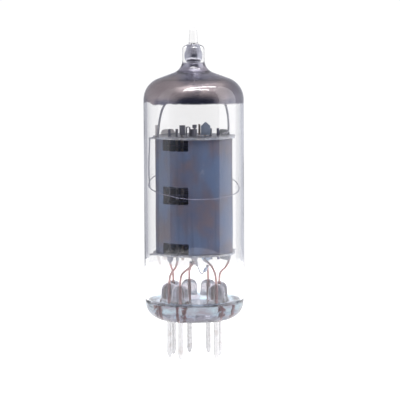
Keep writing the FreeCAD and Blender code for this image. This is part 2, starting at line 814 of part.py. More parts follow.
def getter_legs():
    """Two bent wires that carry the ring above the top mica: one on its tab, one with a turned-in foot."""
    level = CAGE_TOP + " + getter_rise + getter_channel_height / 2"
    reach = "(" + PLATE_SIDE + " - getter_leg_inset)"
    front = "-(strip_thickness / 2 + getter_wire / 2)"
    start = point("-(getter_ring_diameter - getter_channel_width) / 2", "0", level)
    end = point("-" + reach, front, CAGE_TOP)
    bends = [between(start, end, across, up) for across, up in LEG_BENDS]
    welds = ("getter_ring", "getter_tab", "top_mica")
    wire_part("getter_leg_left", [start] + bends + [end], "getter_wire", welds)
    start = point("(getter_ring_diameter + getter_channel_width) / 2", "0", level)
    ankle = point(reach, "0", CAGE_TOP + " + getter_leg_foot")
    toe = point(reach + " - getter_leg_foot", "0", CAGE_TOP + " + getter_wire / 2")
    bends = [between(start, ankle, across, up) for across, up in LEG_BENDS]
    welds = ("getter_ring", "top_mica")
    wire_part("getter_leg_right", [start] + bends + [ankle, toe], "getter_wire", welds)


# Leads and the hoop


def pin_spot(index, up):
    """A point above one of the numbered pins."""
    return point(*pin_place(index), up)


def between(start, end, across, up):
    """A point part of the way from start to end, with its own share across and upwards."""
    span = end - start
    return start + FreeCAD.Vector(span.x * across, span.y * across, span.z * up)


def lead(index, target, bends, welded_to=()):
    """A bent lead from a pin's seal wire to the piece that it feeds."""
    clear = pin_spot(index, MOUND_TOP + " + lead_clear")
    points = [pin_spot(index, MOUND_TOP + " - seal_wire_cover"), clear]
    points += [between(clear, target, across, up) for across, up in bends]
    wire_part("lead_" + str(index), points + [target], "lead_diameter", welded_to)


def stub_top():
    """The top of the third lead's short stub, which leans a little towards the axis."""
    top = pin_spot(3, MOUND_TOP + " + stub_length")
    inward = FreeCAD.Vector(-top.x, -top.y, 0)
    inward.normalize()
    return top + inward * number("stub_lean")


def heater_join(wire):
    """Where a wire meets the right heater tab's outer face, measured from the axis."""
    across = "heater_spread / 2 + heater_wire / 2 + strip_thickness + " + wire + " / 2"
    return across, "heater_tab_width / 4", LOW_MICA + " - cathode_stand - heater_tab_height / 2"


def leads():
    """The seven leads: control grid, plate, heater stub, heater, suppressor, screen and cathode."""
    fin_face = "-(rod_diameter / 2 + strip_thickness + lead_diameter * weld_sink)"
    fin_drop = LOW_MICA + " - low_fin_height * " + str(WELD_SHARE)
    fin_spot = point("control_reach - strap_width", fin_face, fin_drop)
    lead(1, fin_spot, ((0.12, 0.4), (0.5, 0.82)), ["control_grid_low_fin"])
    wide = "(" + PLATE_SIDE + " + lead_diameter / 2)"
    lug_drop = LOW_MICA + " - low_lug_height / 2"
    lug_spot = point(wide + " * cos(mica_ear_turn)", wide + " * sin(mica_ear_turn)", lug_drop)
    lead(2, lug_spot, ((0.1, 0.25), (0.75, 0.5)), ["plate"])
    lead(3, stub_top(), ())
    across, along, up = heater_join("lead_diameter")
    lead(4, point("-(" + across + ")", along, up), ((0.15, 0.4), (0.85, 0.5)), ["heater_tab_left"])
    rod_foot = LOW_MICA + " - rod_stand"
    suppressor_spot = point("-suppressor_reach", "0", rod_foot)
    lead(5, suppressor_spot, ((0.15, 0.3), (0.8, 0.7)), ["suppressor_grid_rods", "suppressor_low_fin"])
    lead(6, point("-screen_reach", "0", rod_foot), ((0.3, 0.35), (0.9, 0.65)), ["screen_grid_rods"])
    sleeve_face = "-(cathode_diameter / 2 + strip_thickness + lead_diameter * weld_sink)"
    tab_drop = LOW_MICA + " - strap_height * " + str(WELD_SHARE)
    lead(7, point("-strap_width / 2", sleeve_face, tab_drop), ((0.12, 0.4), (0.8, 0.72)), ["cathode_tab"])


def heater_link():
    """Thin wire from the right heater tab to the third lead, through a small metal bead."""
    start = point(*heater_join("link_wire"))
    end = stub_top()
    inward = FreeCAD.Vector(-end.x, -end.y, 0)
    inward.normalize()
    end = end + inward * number("(lead_diameter + link_wire) / 2")
    end.z = end.z - number("link_wire")
    dip = start + (end - start) * LINK_DIP
    dip.z = number(MOUND_TOP + " + lead_clear")
    points = [start, between(start, dip, 0.12, 0.3), dip, end]
    wire_part("heater_link", points, "link_wire")
    run = end - dip
    foot = dip + run * BEAD_START
    length = run.Length * BEAD_SHARE
    outer = Part.makeCylinder(number("bead_diameter / 2"), length, foot, run)
    bore = Part.makeCylinder(number("link_wire / 2"), length, foot, run)
    bead = document.addObject("Part::Feature", "heater_bead")
    bead.Shape = outer.cut(bore)
    keep(bead, "heater_bead")


def hoop():
    """Fine wire hoop round the plate, tilted forwards, and the wire that hangs it from the top mica."""
    ring = add("Part::Torus", "hoop_ring", Radius1=HOOP_SIDE, Radius2="hoop_wire / 2")
    tilt = FreeCAD.Rotation(FreeCAD.Vector(1, 0, 0), number("hoop_tilt"))
    ring.Placement = FreeCAD.Placement(FreeCAD.Vector(), tilt)
    ring.setExpression("Placement.Base.z", bind(PLATE_LOW + " + hoop_rise"))
    keep(ring, "hoop_ring")
    across = "-" + HOOP_SIDE + " * cos(mica_ear_turn)"
    along = "-" + HOOP_SIDE + " * sin(mica_ear_turn)"
    top = point(across, along, PLATE_TOP)
    foot = point(across, along + " * cos(hoop_tilt)", PLATE_LOW + " + hoop_rise + hoop_wire / 2")
    foot.z = foot.z + number(along + " * sin(hoop_tilt)")
    wire_part("hoop_hanger", [top, foot], "hoop_wire")


def build():
    contact_pins()
    button_stem()
    seal_wires()
    glass_bulb()
    exhaust_tip()
    getter_flash()
    tip_flash()
    mica("bottom_mica", LOW_MICA)
    mica("top_mica", PLATE_TOP)
    plate()
    grids()
    cathode()
    heater()
    fins()
    straps()
    getter_ring()
    document.recompute()
    getter_legs()
    leads()
    heater_link()
    hoop()


def check_and_write():
    """Stops on any failed object or bad shape, then writes one file to a sub-part."""
    document.recompute()
    for thing in document.Objects:
        if "Invalid" in thing.State or "Error" in thing.State:
            raise ValueError(thing.Label + " did not compute")
    os.makedirs("parts", exist_ok=True)
    for thing in subparts:
        if thing.Shape.isNull() or not thing.Shape.isValid():
            raise ValueError(thing.Label + " has no valid shape")
    for thing in subparts:
        thing.Shape.exportStep("parts/" + thing.Label + ".step")
        print(thing.Label, len(thing.Shape.Solids), round(thing.Shape.Volume, 3))


build()
check_and_write()
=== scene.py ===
import math
from functools import cache

import bmesh
import bpy
from mathutils import Matrix, Vector, noise


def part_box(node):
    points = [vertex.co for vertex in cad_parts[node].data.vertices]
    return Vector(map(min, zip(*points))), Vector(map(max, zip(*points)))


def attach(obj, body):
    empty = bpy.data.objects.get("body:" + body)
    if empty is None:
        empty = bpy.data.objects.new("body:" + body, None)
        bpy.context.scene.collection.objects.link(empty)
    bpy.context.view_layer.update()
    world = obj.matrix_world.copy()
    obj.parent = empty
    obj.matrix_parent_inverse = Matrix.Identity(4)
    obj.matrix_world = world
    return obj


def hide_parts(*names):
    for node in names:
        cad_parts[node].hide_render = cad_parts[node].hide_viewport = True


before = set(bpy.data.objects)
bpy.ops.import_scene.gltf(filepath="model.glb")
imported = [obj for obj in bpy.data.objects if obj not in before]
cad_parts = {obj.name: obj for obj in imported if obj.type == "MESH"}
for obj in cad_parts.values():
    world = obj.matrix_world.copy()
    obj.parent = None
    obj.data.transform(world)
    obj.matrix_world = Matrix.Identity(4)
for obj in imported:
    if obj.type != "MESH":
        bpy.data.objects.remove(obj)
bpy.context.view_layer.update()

bl_info = {
    "name": "Miniature Vacuum Tube",
    "version": (1, 0, 0),
    "blender": (4, 5, 0),
    "location": "View3D > Sidebar > Vacuum Tube",
    "description": "Builds the glass, mirror films and electrodes of a seven-pin miniature tube",
    "category": "Object",
}

MM = 0.001
NM = 0.000001
BODY = "root"


# Places read from the frame


def low_of(node):
    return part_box(node)[0]


def high_of(node):
    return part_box(node)[1]


def middle_of(node):
    low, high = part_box(node)
    return (low + high) / 2


PIN_NAMES = ["contact_pin_" + str(i + 1) for i in range(7)]
PIN_SPOTS = [middle_of(name) for name in PIN_NAMES]
PIN_RADIUS = (high_of(PIN_NAMES[0]).x - low_of(PIN_NAMES[0]).x) / 2
PIN_CIRCLE = Vector(PIN_SPOTS[0][:2]).length
UNDERSIDE = low_of("button_stem").z
MOUND_TOP = high_of("button_stem").z
BULB_RADIUS = high_of("glass_bulb").x
NECK_TOP = low_of("exhaust_tip").z
NECK_RADIUS = high_of("exhaust_tip").x
TIP_TOP = high_of("exhaust_tip").z
CAVITY_TOP = high_of("tip_flash").z
THROAT_RADIUS = high_of("tip_flash").x
FILM_LOW = low_of("getter_flash").z
GLASS_WALL = BULB_RADIUS - high_of("getter_flash").x - 0.01 * MM
LOW_MICA = low_of("bottom_mica").z
PLATE_LOW = high_of("bottom_mica").z
PLATE_TOP = low_of("top_mica").z
CAGE_TOP = high_of("top_mica").z

# Directions round the plate, counted from the right-hand side, and the seam that they are
# counted past.
SEAM = math.radians(150)
WINDOWS = [math.radians(48), math.radians(228)]
LUGS = [math.radians(21), math.radians(124)]

# For each grid, how far its rods are from the axis, its winding's half width the other way, and
# the winding's pitch.
GRIDS = {
    "control": (2.2 * MM, 1.05 * MM, 0.75 * MM),
    "screen": (3.2 * MM, 1.9 * MM, 1.0 * MM),
    "suppressor": (4.6 * MM, 3.2 * MM, 1.3 * MM),
}


# What a user may change


def length(name, description, default):
    return bpy.props.FloatProperty(
        name=name, description=description, default=default, unit="LENGTH", precision=5
    )


def angle(name, description, default):
    return bpy.props.FloatProperty(
        name=name, description=description, default=math.radians(default), unit="ROTATION"
    )


def colour(name, description, default):
    return bpy.props.FloatVectorProperty(
        name=name,
        description=description,
        default=default,
        subtype="COLOR",
        size=3,
        min=0.0,
        max=1.0,
    )


class TubeSizes(bpy.types.PropertyGroup):
    """Sizes of the visible pieces, beyond those that the frame gives."""

    glass_wall: length("Glass Wall", "Thickness of the blown bulb", GLASS_WALL)
    base_thickness: length("Base Thickness", "Thickness of the pressed glass base", 3.2 * MM)
    base_corner: length("Base Corner", "Rounding of the base's lower edge", 3.4 * MM)
    base_fillet: length("Base Fillet", "Rounding inside, where base and wall meet", 0.9 * MM)
    mound_radius: length("Mound Radius", "Radius of the glass round each lead", 1.55 * MM)
    dome_slope: angle("Dome Slope", "Slope of the dome above the shoulder", 20)
    shoulder_radius: length("Shoulder Radius", "Outer rounding of the bulb's shoulder", 4.15 * MM)
    flare_radius: length("Flare Radius", "Rounding where the dome meets the neck", 2.4 * MM)
    throat_round: length("Throat Rounding", "Inner rounding where dome meets neck", 1.9 * MM)
    flare_drop: length("Flare Drop", "How far below the neck's foot the slope ends", 1.8 * MM)
    neck_height: length("Neck Height", "From the neck's foot to its top", 2.4 * MM)
    neck_round: length("Neck Rounding", "Rounding of the neck's top", 0.9 * MM)
    nipple_foot: length("Nipple Foot", "Radius of the nipple where it leaves the neck", 0.85 * MM)
    nipple_rise: length("Nipple Rise", "Height of the nipple's foot above the neck's", 2.9 * MM)
    nipple_fillet: length("Nipple Fillet", "Rounding at the nipple's foot", 0.4 * MM)
    nipple_radius: length("Nipple Radius", "Radius of the nipple's end", 0.65 * MM)
    nipple_round: length("Nipple Rounding", "Rounding of the nipple's end", 0.6 * MM)
    throat_step: length("Throat Step", "How much narrower the throat is than the cavity", 0.3 * MM)
    shelf_drop: length("Shelf Drop", "Depth of the shelf below the neck's foot", 0.72 * MM)
    shelf_rise: length("Shelf Rise", "How much the shelf climbs towards the axis", 0.12 * MM)
    shelf_round: length("Shelf Rounding", "Rounding at the shelf's outer edge", 0.15 * MM)
    film_sink: length("Film Sink", "How far the mirror film is sunk into the glass", 0.02 * MM)
    film_wall: length("Film Thickness", "Thickness of the mirror film", 0.03 * MM)
    window_width: length("Window Width", "Width of the plate's windows", 5.4 * MM)
    window_low: length("Window Foot", "Middle window's foot above the plate's foot", 9.25 * MM)
    window_high: length("Window Head", "Middle window's head above the plate's foot", 12.45 * MM)
    window_end: length("End Window", "Height of the windows at the plate's ends", 2.1 * MM)
    lug_foot: length("Lug Foot", "Width of a lug where it leaves the plate", 4.6 * MM)
    lug_top: length("Lug Top", "Width of a lug at its end", 2.8 * MM)
    plate_wall: length("Plate Wall", "Thickness of the plate's sheet", 0.2 * MM)
    lead_radius: length("Lead Radius", "Radius of the seven leads", 0.21 * MM)
    winding_radius: length("Winding Wire", "Radius of the grids' lateral wires", 0.05 * MM)
    round_steps: bpy.props.IntProperty(
        name="Round Steps", description="Facets round the glass", default=144
    )


class TubeColours(bpy.types.PropertyGroup):
    """Colours of the finishes."""

    clear_glass: colour("Clear Glass", "Blown glass of the bulb", (0.975, 0.972, 0.975))
    base_glass: colour("Base Glass", "Rim of the pressed base, greenish blue", (0.45, 0.58, 0.66))
    lower_glass: colour("Lower Glass", "Underside of the base, lilac grey", (0.3, 0.27, 0.33))
    mound_glass: colour("Mound Glass", "Glass round the leads, grey and mauve", (0.31, 0.3, 0.335))
    film_dark: colour("Film, Dark", "Thick part of the mirror film", (0.16, 0.165, 0.26))
    # Bronze of the film's own patches, also laid on as painted reflection in a belt and at the
    # sides.
    film_bronze: colour("Film, Bronze", "Warm patches of the mirror film", (0.66, 0.56, 0.54))
    # Painted reflection: the lilac laid on the upper part of the mirror film.
    film_lilac: colour("Film, Lilac", "Cool upper part of the mirror film", (0.55, 0.53, 0.62))
    carbon: colour("Carbonised Metal", "Matt blue-grey of the plate", (0.097, 0.108, 0.176))
    nickel: colour("Nickel", "Strips, rods and getter", (0.5, 0.49, 0.53))
    pin_nickel: colour("Pin Nickel", "Bright contact pins", (0.6, 0.595, 0.6))
    copper: colour("Copper", "Sheath of the sealed wires", (0.33, 0.17, 0.18))
    mica: colour("Mica", "Spacer discs", (0.31, 0.33, 0.4))
    oxide: colour("Oxide", "Sprayed white coating", (0.86, 0.85, 0.81))


class StudioSettings(bpy.types.PropertyGroup):
    """Camera and light."""

    azimuth: angle("Azimuth", "Where the camera stands round the tube", -12)
    distance: length("Distance", "From the tube's axis to the camera", 380 * MM)
    height: length("Height", "Of the camera above the pin points", 64.5 * MM)
    offset: length("Offset", "Of the camera to the right of the tube", 1.1 * MM)
    pitch: angle("Pitch", "Downward tilt of the camera", 5.3)
    roll: angle("Roll", "Turn of the camera about its own axis", -0.26)
    lens: bpy.props.FloatProperty(
        name="Lens", description="Focal length in millimetres", default=185.3
    )


def sizes():
    return bpy.context.scene.tube_sizes


def colours():
    return bpy.context.scene.tube_colours


# Node trees, written as expressions


class Wire:
    """An output socket. Arithmetic on it adds Math nodes to its tree."""

    def __init__(self, maker, socket):
        self.maker = maker
        self.socket = socket

    def __add__(self, other):
        return self.maker.math("ADD", self, other)

    def __radd__(self, other):
        return self.maker.math("ADD", other, self)

    def __sub__(self, other):
        return self.maker.math("SUBTRACT", self, other)

    def __rsub__(self, other):
        return self.maker.math("SUBTRACT", other, self)

    def __mul__(self, other):
        return self.maker.math("MULTIPLY", self, other)

    def __rmul__(self, other):
        return self.maker.math("MULTIPLY", other, self)

    def __truediv__(self, other):
        return self.maker.math("DIVIDE", self, other)

    def __rtruediv__(self, other):
        return self.maker.math("DIVIDE", other, self)

    def __pow__(self, other):
        return self.maker.math("POWER", self, other)

    def __rpow__(self, other):
        return self.maker.math("POWER", other, self)


class Maker:
    """Adds nodes to one tree."""

    def __init__(self, tree):
        self.tree = tree

    def node(self, kind, settings=None, values=None, output=0):
        """A node with its settings made first, then the values or links of its sockets."""
        made = self.tree.nodes.new(kind)
        for key, value in (settings or {}).items():
            setattr(made, key, value)
        for key, value in (values or {}).items():
            self.feed(made.inputs[key], value)
        return Wire(self, made.outputs[output]) if made.outputs else made

    def feed(self, socket, value):
        if isinstance(value, Wire):
            self.tree.links.new(value.socket, socket)
            return
        held = socket.default_value
        lacks_alpha = hasattr(held, "__len__") and len(held) == 4 and len(value) == 3
        socket.default_value = (*value, 1.0) if lacks_alpha else value

    def join(self, x=0.0, y=0.0, z=0.0):
        """A place from its three coordinates."""
        return self.node("ShaderNodeCombineXYZ", {}, {"X": x, "Y": y, "Z": z})

    def math(self, operation, *values):
        return self.node("ShaderNodeMath", {"operation": operation}, dict(enumerate(values)))

    def mix(self, factor, first, second):
        """A blend of two colours."""
        values = {0: factor, 6: first, 7: second}
        return self.node("ShaderNodeMix", {"data_type": "RGBA"}, values, 2)

    def vector(self, operation, first, second):
        return self.node("ShaderNodeVectorMath", {"operation": operation}, {0: first, 1: second})

    def band(self, value, low, high):
        """0 below low, 1 above high, smooth between."""
        ends = {"Value": value, "From Min": low, "From Max": high}
        return self.node("ShaderNodeMapRange", {"interpolation_type": "SMOOTHSTEP"}, ends)

    def place(self):
        return self.node("ShaderNodeTexCoord", output="Object")

    def split(self, place):
        """The three coordinates of a place."""
        made = self.tree.nodes.new("ShaderNodeSeparateXYZ")
        self.feed(made.inputs[0], place)
        return [Wire(self, made.outputs[i]) for i in range(3)]

    def grain(self, place, scale, detail=3.0, rough=0.5, stretch=(1, 1, 1)):
        """Noise from 0 to 1 with its features about 1 / scale metres across."""
        spot = self.vector("MULTIPLY", place, stretch)
        values = {"Vector": spot, "Scale": scale, "Detail": detail, "Roughness": rough}
        return self.node("ShaderNodeTexNoise", {}, values)

    def bump(self, height, depth, normal=None):
        values = {"Strength": 1.0, "Distance": depth, "Height": height}
        if normal is not None:
            values["Normal"] = normal
        return self.node("ShaderNodeBump", {}, values)


class Finish(Maker):
    """A material under way, with a principled surface."""

    def __init__(self, name):
        self.material = bpy.data.materials.new(name)
        self.material.use_nodes = True
        super().__init__(self.material.node_tree)
        self.tree.nodes.clear()
        self.spot = self.place()

    def principled(self, **values):
        named = {}
        for key, value in values.items():
            named[key.replace("_", " ").title().replace("Ior", "IOR")] = value
        return self.node("ShaderNodeBsdfPrincipled", {}, named)

    def blend(self, factor, first, second):
        """A Mix Shader: second where the factor is 1."""
        return self.node("ShaderNodeMixShader", {}, {0: factor, 1: first, 2: second})

    def done(self, shader):
        self.node("ShaderNodeOutputMaterial", {}, {"Surface": shader})
        return self.material


# Finishes


@cache
def glass_finish():
    """Clear blown glass, bluish in the thick base, painted grey where it is seen edge-on as a
    painted reflection of darker surroundings. Light reaches the metal inside it unbent.
    """
    finish = Finish("clear_glass")
    across, along, up = finish.split(finish.spot)
    floor = UNDERSIDE + sizes().base_thickness
    reach = finish.math("SQRT", across * across + along * along)
    swirl = finish.grain(finish.spot, 420, 3.0, 0.55, (1, 1, 2.2))
    thick = 1 - finish.band(up, floor + 0.1 * MM, floor + 0.9 * MM)
    rim_start, rim_end = 7.3 * MM, 7.7 * MM
    inside = 1 - finish.band(reach, rim_start, rim_end)
    mound = (1 - thick) * inside * (1 - finish.band(up, MOUND_TOP + 1.1 * MM, MOUND_TOP + 2.1 * MM))
    # Painted reflection: grey is laid into the glass's colour where it is seen edge-on, for faint
    # grey lines along its outline.
    painted_edge_grey = finish.node("ShaderNodeLayerWeight", {}, {"Blend": 0.25}, "Facing")
    lilac = finish.band(swirl + (floor - up) * 90, 0.42, 0.72)
    base = finish.mix(lilac, tuple(colours().base_glass), tuple(colours().lower_glass))
    tint = finish.mix(thick, tuple(colours().clear_glass), base)
    tint = finish.mix(mound * (0.8 + swirl * 0.2), tint, tuple(colours().mound_glass))
    tint = finish.mix(painted_edge_grey ** 3 * 0.6, tint, (0.6, 0.62, 0.64))
    waves = finish.grain(finish.spot, 130, 2.0, 0.4, (1, 1, 0.5))
    normal = finish.bump(waves + swirl * thick * 2.6, 0.05 * MM)
    glass = finish.principled(
        base_color=tint, roughness=0.015, ior=1.5, transmission_weight=1.0, normal=normal
    )
    clear = finish.node("ShaderNodeBsdfTransparent", {}, {"Color": (0.97, 0.975, 0.98)})
    for ray in ("Is Diffuse Ray", "Is Shadow Ray"):
        kind = finish.node("ShaderNodeLightPath", output=ray)
        glass = finish.blend(kind, glass, clear)
    return finish.done(glass)


@cache
def film_finish():
    """Evaporated getter metal: a dark mirror with bronze patches, thin at its edge, with painted
    reflections: lilac at the top, more bronze in a belt and at the sides, grey-lilac towards the
    right.
    """
    finish = Finish("getter_mirror")
    across, _, up = finish.split(finish.spot)
    cloud = finish.grain(finish.spot, 160, 4.0, 0.55)
    fine = finish.grain(finish.spot, 1400, 3.0)
    streak = finish.grain(finish.spot, 330, 3.0, 0.5, (1, 1, 0.25))
    # Painted reflection: the upper part of the film is given lilac, the colour the room above shows
    # in it.
    high = finish.band(up, CAGE_TOP + 9.6 * MM, CAGE_TOP + 11.4 * MM)
    # The cloud gives the film's own bronze patches; the belt at mid-height and the sides add bronze
    # as painted highlight and reflection.
    painted_highlight_belt = finish.band(up, CAGE_TOP + 6.4 * MM, CAGE_TOP + 8.4 * MM) * (1 - high)
    side = finish.band(finish.math("ABSOLUTE", across), 2.0 * MM, 6.0 * MM)
    bronze_patches_and_reflection = finish.band(cloud + painted_highlight_belt * 0.3 + side * 0.12, 0.5, 0.85)
    shade = finish.mix(high, tuple(colours().film_dark), tuple(colours().film_lilac))
    shade = finish.mix(bronze_patches_and_reflection * 0.85, shade, tuple(colours().film_bronze))
    shade = finish.mix(finish.band(streak, 0.6, 0.75) * 0.4, shade, (0.12, 0.12, 0.17))
    # Painted shade: the film is turned grey-lilac towards the right-hand side.
    shade = finish.mix(finish.band(across, 3.5 * MM, 6.5 * MM) * 0.8, shade, (0.26, 0.25, 0.3))
    rough = 0.07 + cloud * 0.16 + fine * 0.05
    normal = finish.bump(cloud + fine * 0.06, 0.07 * MM)
    metal = finish.principled(base_color=shade, metallic=1.0, roughness=rough, normal=normal)
    edge = finish.node("ShaderNodeAttribute", {"attribute_name": "depth"}, output="Fac")
    cover = finish.band(edge + (cloud - 0.5) * 0.5, 0.02, 0.4)
    bare = finish.node("ShaderNodeBsdfTransparent", {}, {"Color": (1.0, 1.0, 1.0)})
    return finish.done(finish.blend(cover, bare, metal))


@cache
def tip_film_finish():
    """The same mirror in the small cavity of the tip, brighter and more even."""
    finish = Finish("tip_mirror")
    cloud = finish.grain(finish.spot, 700, 3.0)
    shade = finish.mix(cloud, (0.42, 0.42, 0.49), (0.84, 0.84, 0.9))
    normal = finish.bump(cloud, 0.06 * MM)
    rough = 0.08 + cloud * 0.15
    metal = finish.principled(base_color=shade, metallic=1.0, roughness=rough, normal=normal)
    return finish.done(metal)


@cache
def carbon_finish():
    """Carbonised nickel: matt blue-grey with fine grain, rolling streaks and rubbed patches."""
    finish = Finish("carbon_coat")
    grain = finish.grain(finish.spot, 6500, 4.0, 0.65)
    cloud = finish.grain(finish.spot, 210, 4.0, 0.55)
    roll = finish.grain(finish.spot, 1500, 3.0, 0.5, (1, 1, 0.04))
    across, _, up = finish.split(finish.spot)
    base = tuple(colours().carbon)
    dark = tuple(value * 0.62 for value in base)
    brown = (base[0] * 1.35, base[1] * 0.98, base[2] * 0.72)
    blue = (base[0] * 0.95, base[1] * 1.35, base[2] * 1.5)
    soft = finish.grain(finish.spot, 120, 3.0, 0.5, (1.3, 1.3, 0.8))
    shade = finish.mix(finish.band(cloud, 0.4, 0.64), brown, base)
    shade = finish.mix(finish.band(soft, 0.45, 0.62) * 0.75, shade, blue)
    shade = finish.mix(finish.band(roll, 0.5, 0.8) * 0.55, shade, dark)
    rubbed = finish.band(finish.grain(finish.spot, 480, 5.0, 0.6, (1, 1, 0.5)), 0.63, 0.74)
    shade = finish.mix(rubbed * 0.35, shade, (0.26, 0.27, 0.31))
    shade = finish.mix(grain * 0.3, shade, dark)
    ends = finish.band(up, CAGE_TOP - 0.05 * MM, CAGE_TOP + 0.15 * MM)
    ends = ends + (1 - finish.band(up, LOW_MICA - 0.15 * MM, LOW_MICA + 0.05 * MM))
    # Painted light and shade: the bare metal at the plate's ends is beige-white towards the left,
    # pale blue in the middle and dark towards the right.
    bare = finish.mix(finish.band(across, -2 * MM, 0.0), (0.95, 0.9, 0.87), (0.54, 0.63, 0.78))
    bare = finish.mix(finish.band(across, 4 * MM, 6 * MM), bare, (0.2, 0.22, 0.26))
    shade = finish.mix(ends * (0.75 + cloud * 0.25), shade, bare)
    rough = 0.46 + grain * 0.16 - rubbed * 0.1 + cloud * 0.06
    normal = finish.bump(grain, 0.012 * MM, finish.bump(cloud + roll * 0.4, 0.05 * MM))
    metallic = 0.55 - ends * 0.45
    metal = finish.principled(base_color=shade, metallic=metallic, roughness=rough, normal=normal)
    return finish.done(metal)


def metal_finish(name, shade, dull, rough, tarnish, scratch=(1, 1, 0.05), metallic=0.8):
    """Drawn or rolled metal with fine scratches, dull patches and a little tarnish."""
    finish = Finish(name)
    cloud = finish.grain(finish.spot, 420, 4.0, 0.6)
    lines = finish.grain(finish.spot, 5200, 3.0, 0.6, scratch)
    stain = finish.band(finish.grain(finish.spot, 900, 4.0, 0.6), 0.52, 0.7)
    tone = finish.mix(cloud, shade, dull)
    tone = finish.mix(stain * 0.5, tone, tarnish)
    normal = finish.bump(lines + cloud * 0.6, 0.01 * MM)
    rough = rough + lines * 0.14 + stain * 0.16
    metal = finish.principled(base_color=tone, metallic=metallic, roughness=rough, normal=normal)
    return finish.done(metal)


@cache
def pin_finish():
    """Bright nickel of the contact pins, scratched lengthways."""
    base = tuple(colours().pin_nickel)
    dull = tuple(value * 0.82 for value in base)
    return metal_finish("bright_pins", base, dull, 0.2, (0.5, 0.45, 0.42))


@cache
def nickel_finish():
    """Annealed nickel strip, darkened by heat."""
    base = tuple(colours().nickel)
    dull = (base[0] * 0.55, base[1] * 0.57, base[2] * 0.66)
    return metal_finish("annealed_strip", base, dull, 0.42, (0.36, 0.32, 0.31))


@cache
def tan_nickel_finish():
    """Nickel tinted beige by the pumping heat, as on the plate's lugs."""
    shade, dull, tarnish = (0.62, 0.53, 0.49), (0.42, 0.37, 0.36), (0.3, 0.3, 0.33)
    return metal_finish("tinted_nickel", shade, dull, 0.36, tarnish)


@cache
def rod_finish():
    """Copper-cored rods with a pale nickel skin."""
    shade, dull, tarnish = (0.66, 0.62, 0.6), (0.5, 0.42, 0.38), (0.42, 0.3, 0.25)
    return metal_finish("grid_rod", shade, dull, 0.26, tarnish)


@cache
def dark_rod_finish():
    """Blackened rods and the hoop's wire, which take on the plate's dark tone."""
    shade, dull, tarnish = (0.23, 0.23, 0.31), (0.14, 0.14, 0.2), (0.18, 0.14, 0.14)
    return metal_finish("blackened_wire", shade, dull, 0.4, tarnish, (1, 1, 1))


@cache
def grid_wire_finish():
    """Fine drawn wire."""
    shade, dull, tarnish = (0.27, 0.28, 0.43), (0.18, 0.18, 0.29), (0.2, 0.17, 0.2)
    return metal_finish("drawn_wire", shade, dull, 0.36, tarnish, (1, 1, 1), 0.3)


@cache
def copper_finish():
    """Copper-sheathed seal wire, red in the glass."""
    base = tuple(colours().copper)
    dull = (base[0] * 0.8, base[1] * 0.66, base[2] * 0.66)
    return metal_finish("sealed_copper", base, dull, 0.32, (0.3, 0.13, 0.11))


@cache
def lead_finish():
    """Nickel lead whose copper sheath is burnt brown and mauve just above the glass."""
    finish = Finish("lead_wire")
    up = finish.split(finish.spot)[2]
    cloud = finish.grain(finish.spot, 700, 4.0, 0.6)
    lines = finish.grain(finish.spot, 5200, 3.0, 0.6, (1, 1, 0.1))
    low = 1 - finish.band(up + cloud * 1.6 * MM, MOUND_TOP + 3.4 * MM, MOUND_TOP + 5.2 * MM)
    steel = finish.mix(cloud, (0.5, 0.48, 0.52), (0.3, 0.29, 0.34))
    tone = finish.mix(low, steel, finish.mix(cloud, (0.72, 0.4, 0.34), (0.42, 0.25, 0.26)))
    normal = finish.bump(lines + cloud * 0.5, 0.012 * MM)
    rough = 0.3 + cloud * 0.2
    metal = finish.principled(base_color=tone, metallic=0.75, roughness=rough, normal=normal)
    return finish.done(metal)


@cache
def mica_finish():
    """Split mica: translucent, flaky, with a dusting of white powder."""
    finish = Finish("mica_sheet")
    flake = finish.grain(finish.spot, 520, 5.0, 0.65)
    layers = finish.grain(finish.spot, 1600, 3.0, 0.5, (0.4, 0.4, 6))
    powder = finish.band(finish.grain(finish.spot, 2600, 5.0, 0.7), 0.5, 0.72)
    base = tuple(colours().mica)
    tone = finish.mix(finish.band(flake, 0.35, 0.7), base, (0.3, 0.28, 0.28))
    tone = finish.mix(finish.band(layers, 0.45, 0.7) * 0.4, tone, (0.6, 0.6, 0.62))
    tone = finish.mix(powder * 0.3, tone, (0.7, 0.69, 0.68))
    normal = finish.bump(flake + layers * 0.5 + powder * 0.4, 0.03 * MM)
    sheet = finish.principled(
        base_color=tone,
        roughness=0.22 + powder * 0.4,
        ior=1.58,
        transmission_weight=0.35,
        normal=normal,
    )
    return finish.done(sheet)


@cache
def oxide_finish():
    """Sprayed white oxide with a grainy, slightly cracked surface."""
    finish = Finish("sprayed_oxide")
    grain = finish.grain(finish.spot, 5200, 5.0, 0.7)
    cloud = finish.grain(finish.spot, 700, 3.0)
    tone = finish.mix(cloud, tuple(colours().oxide), (0.7, 0.68, 0.64))
    tone = finish.mix(finish.band(grain, 0.6, 0.8) * 0.4, tone, (0.5, 0.48, 0.45))
    normal = finish.bump(grain, 0.03 * MM)
    rough = 0.85 - cloud * 0.1
    return finish.done(finish.principled(base_color=tone, roughness=rough, normal=normal))


@cache
def floor_finish():
    """Matt white paper with the faintest fibre."""
    finish = Finish("white_paper")
    fibre = finish.grain(finish.spot, 900, 4.0)
    tone = finish.mix(fibre, (0.93, 0.93, 0.93), (0.95, 0.95, 0.95))
    normal = finish.bump(fibre, 0.01 * MM)
    rough = 0.9 - fibre * 0.05
    paper = finish.principled(
        base_color=tone, roughness=rough, normal=normal, emission_color=tone, emission_strength=0.72
    )
    return finish.done(paper)


# Shapes


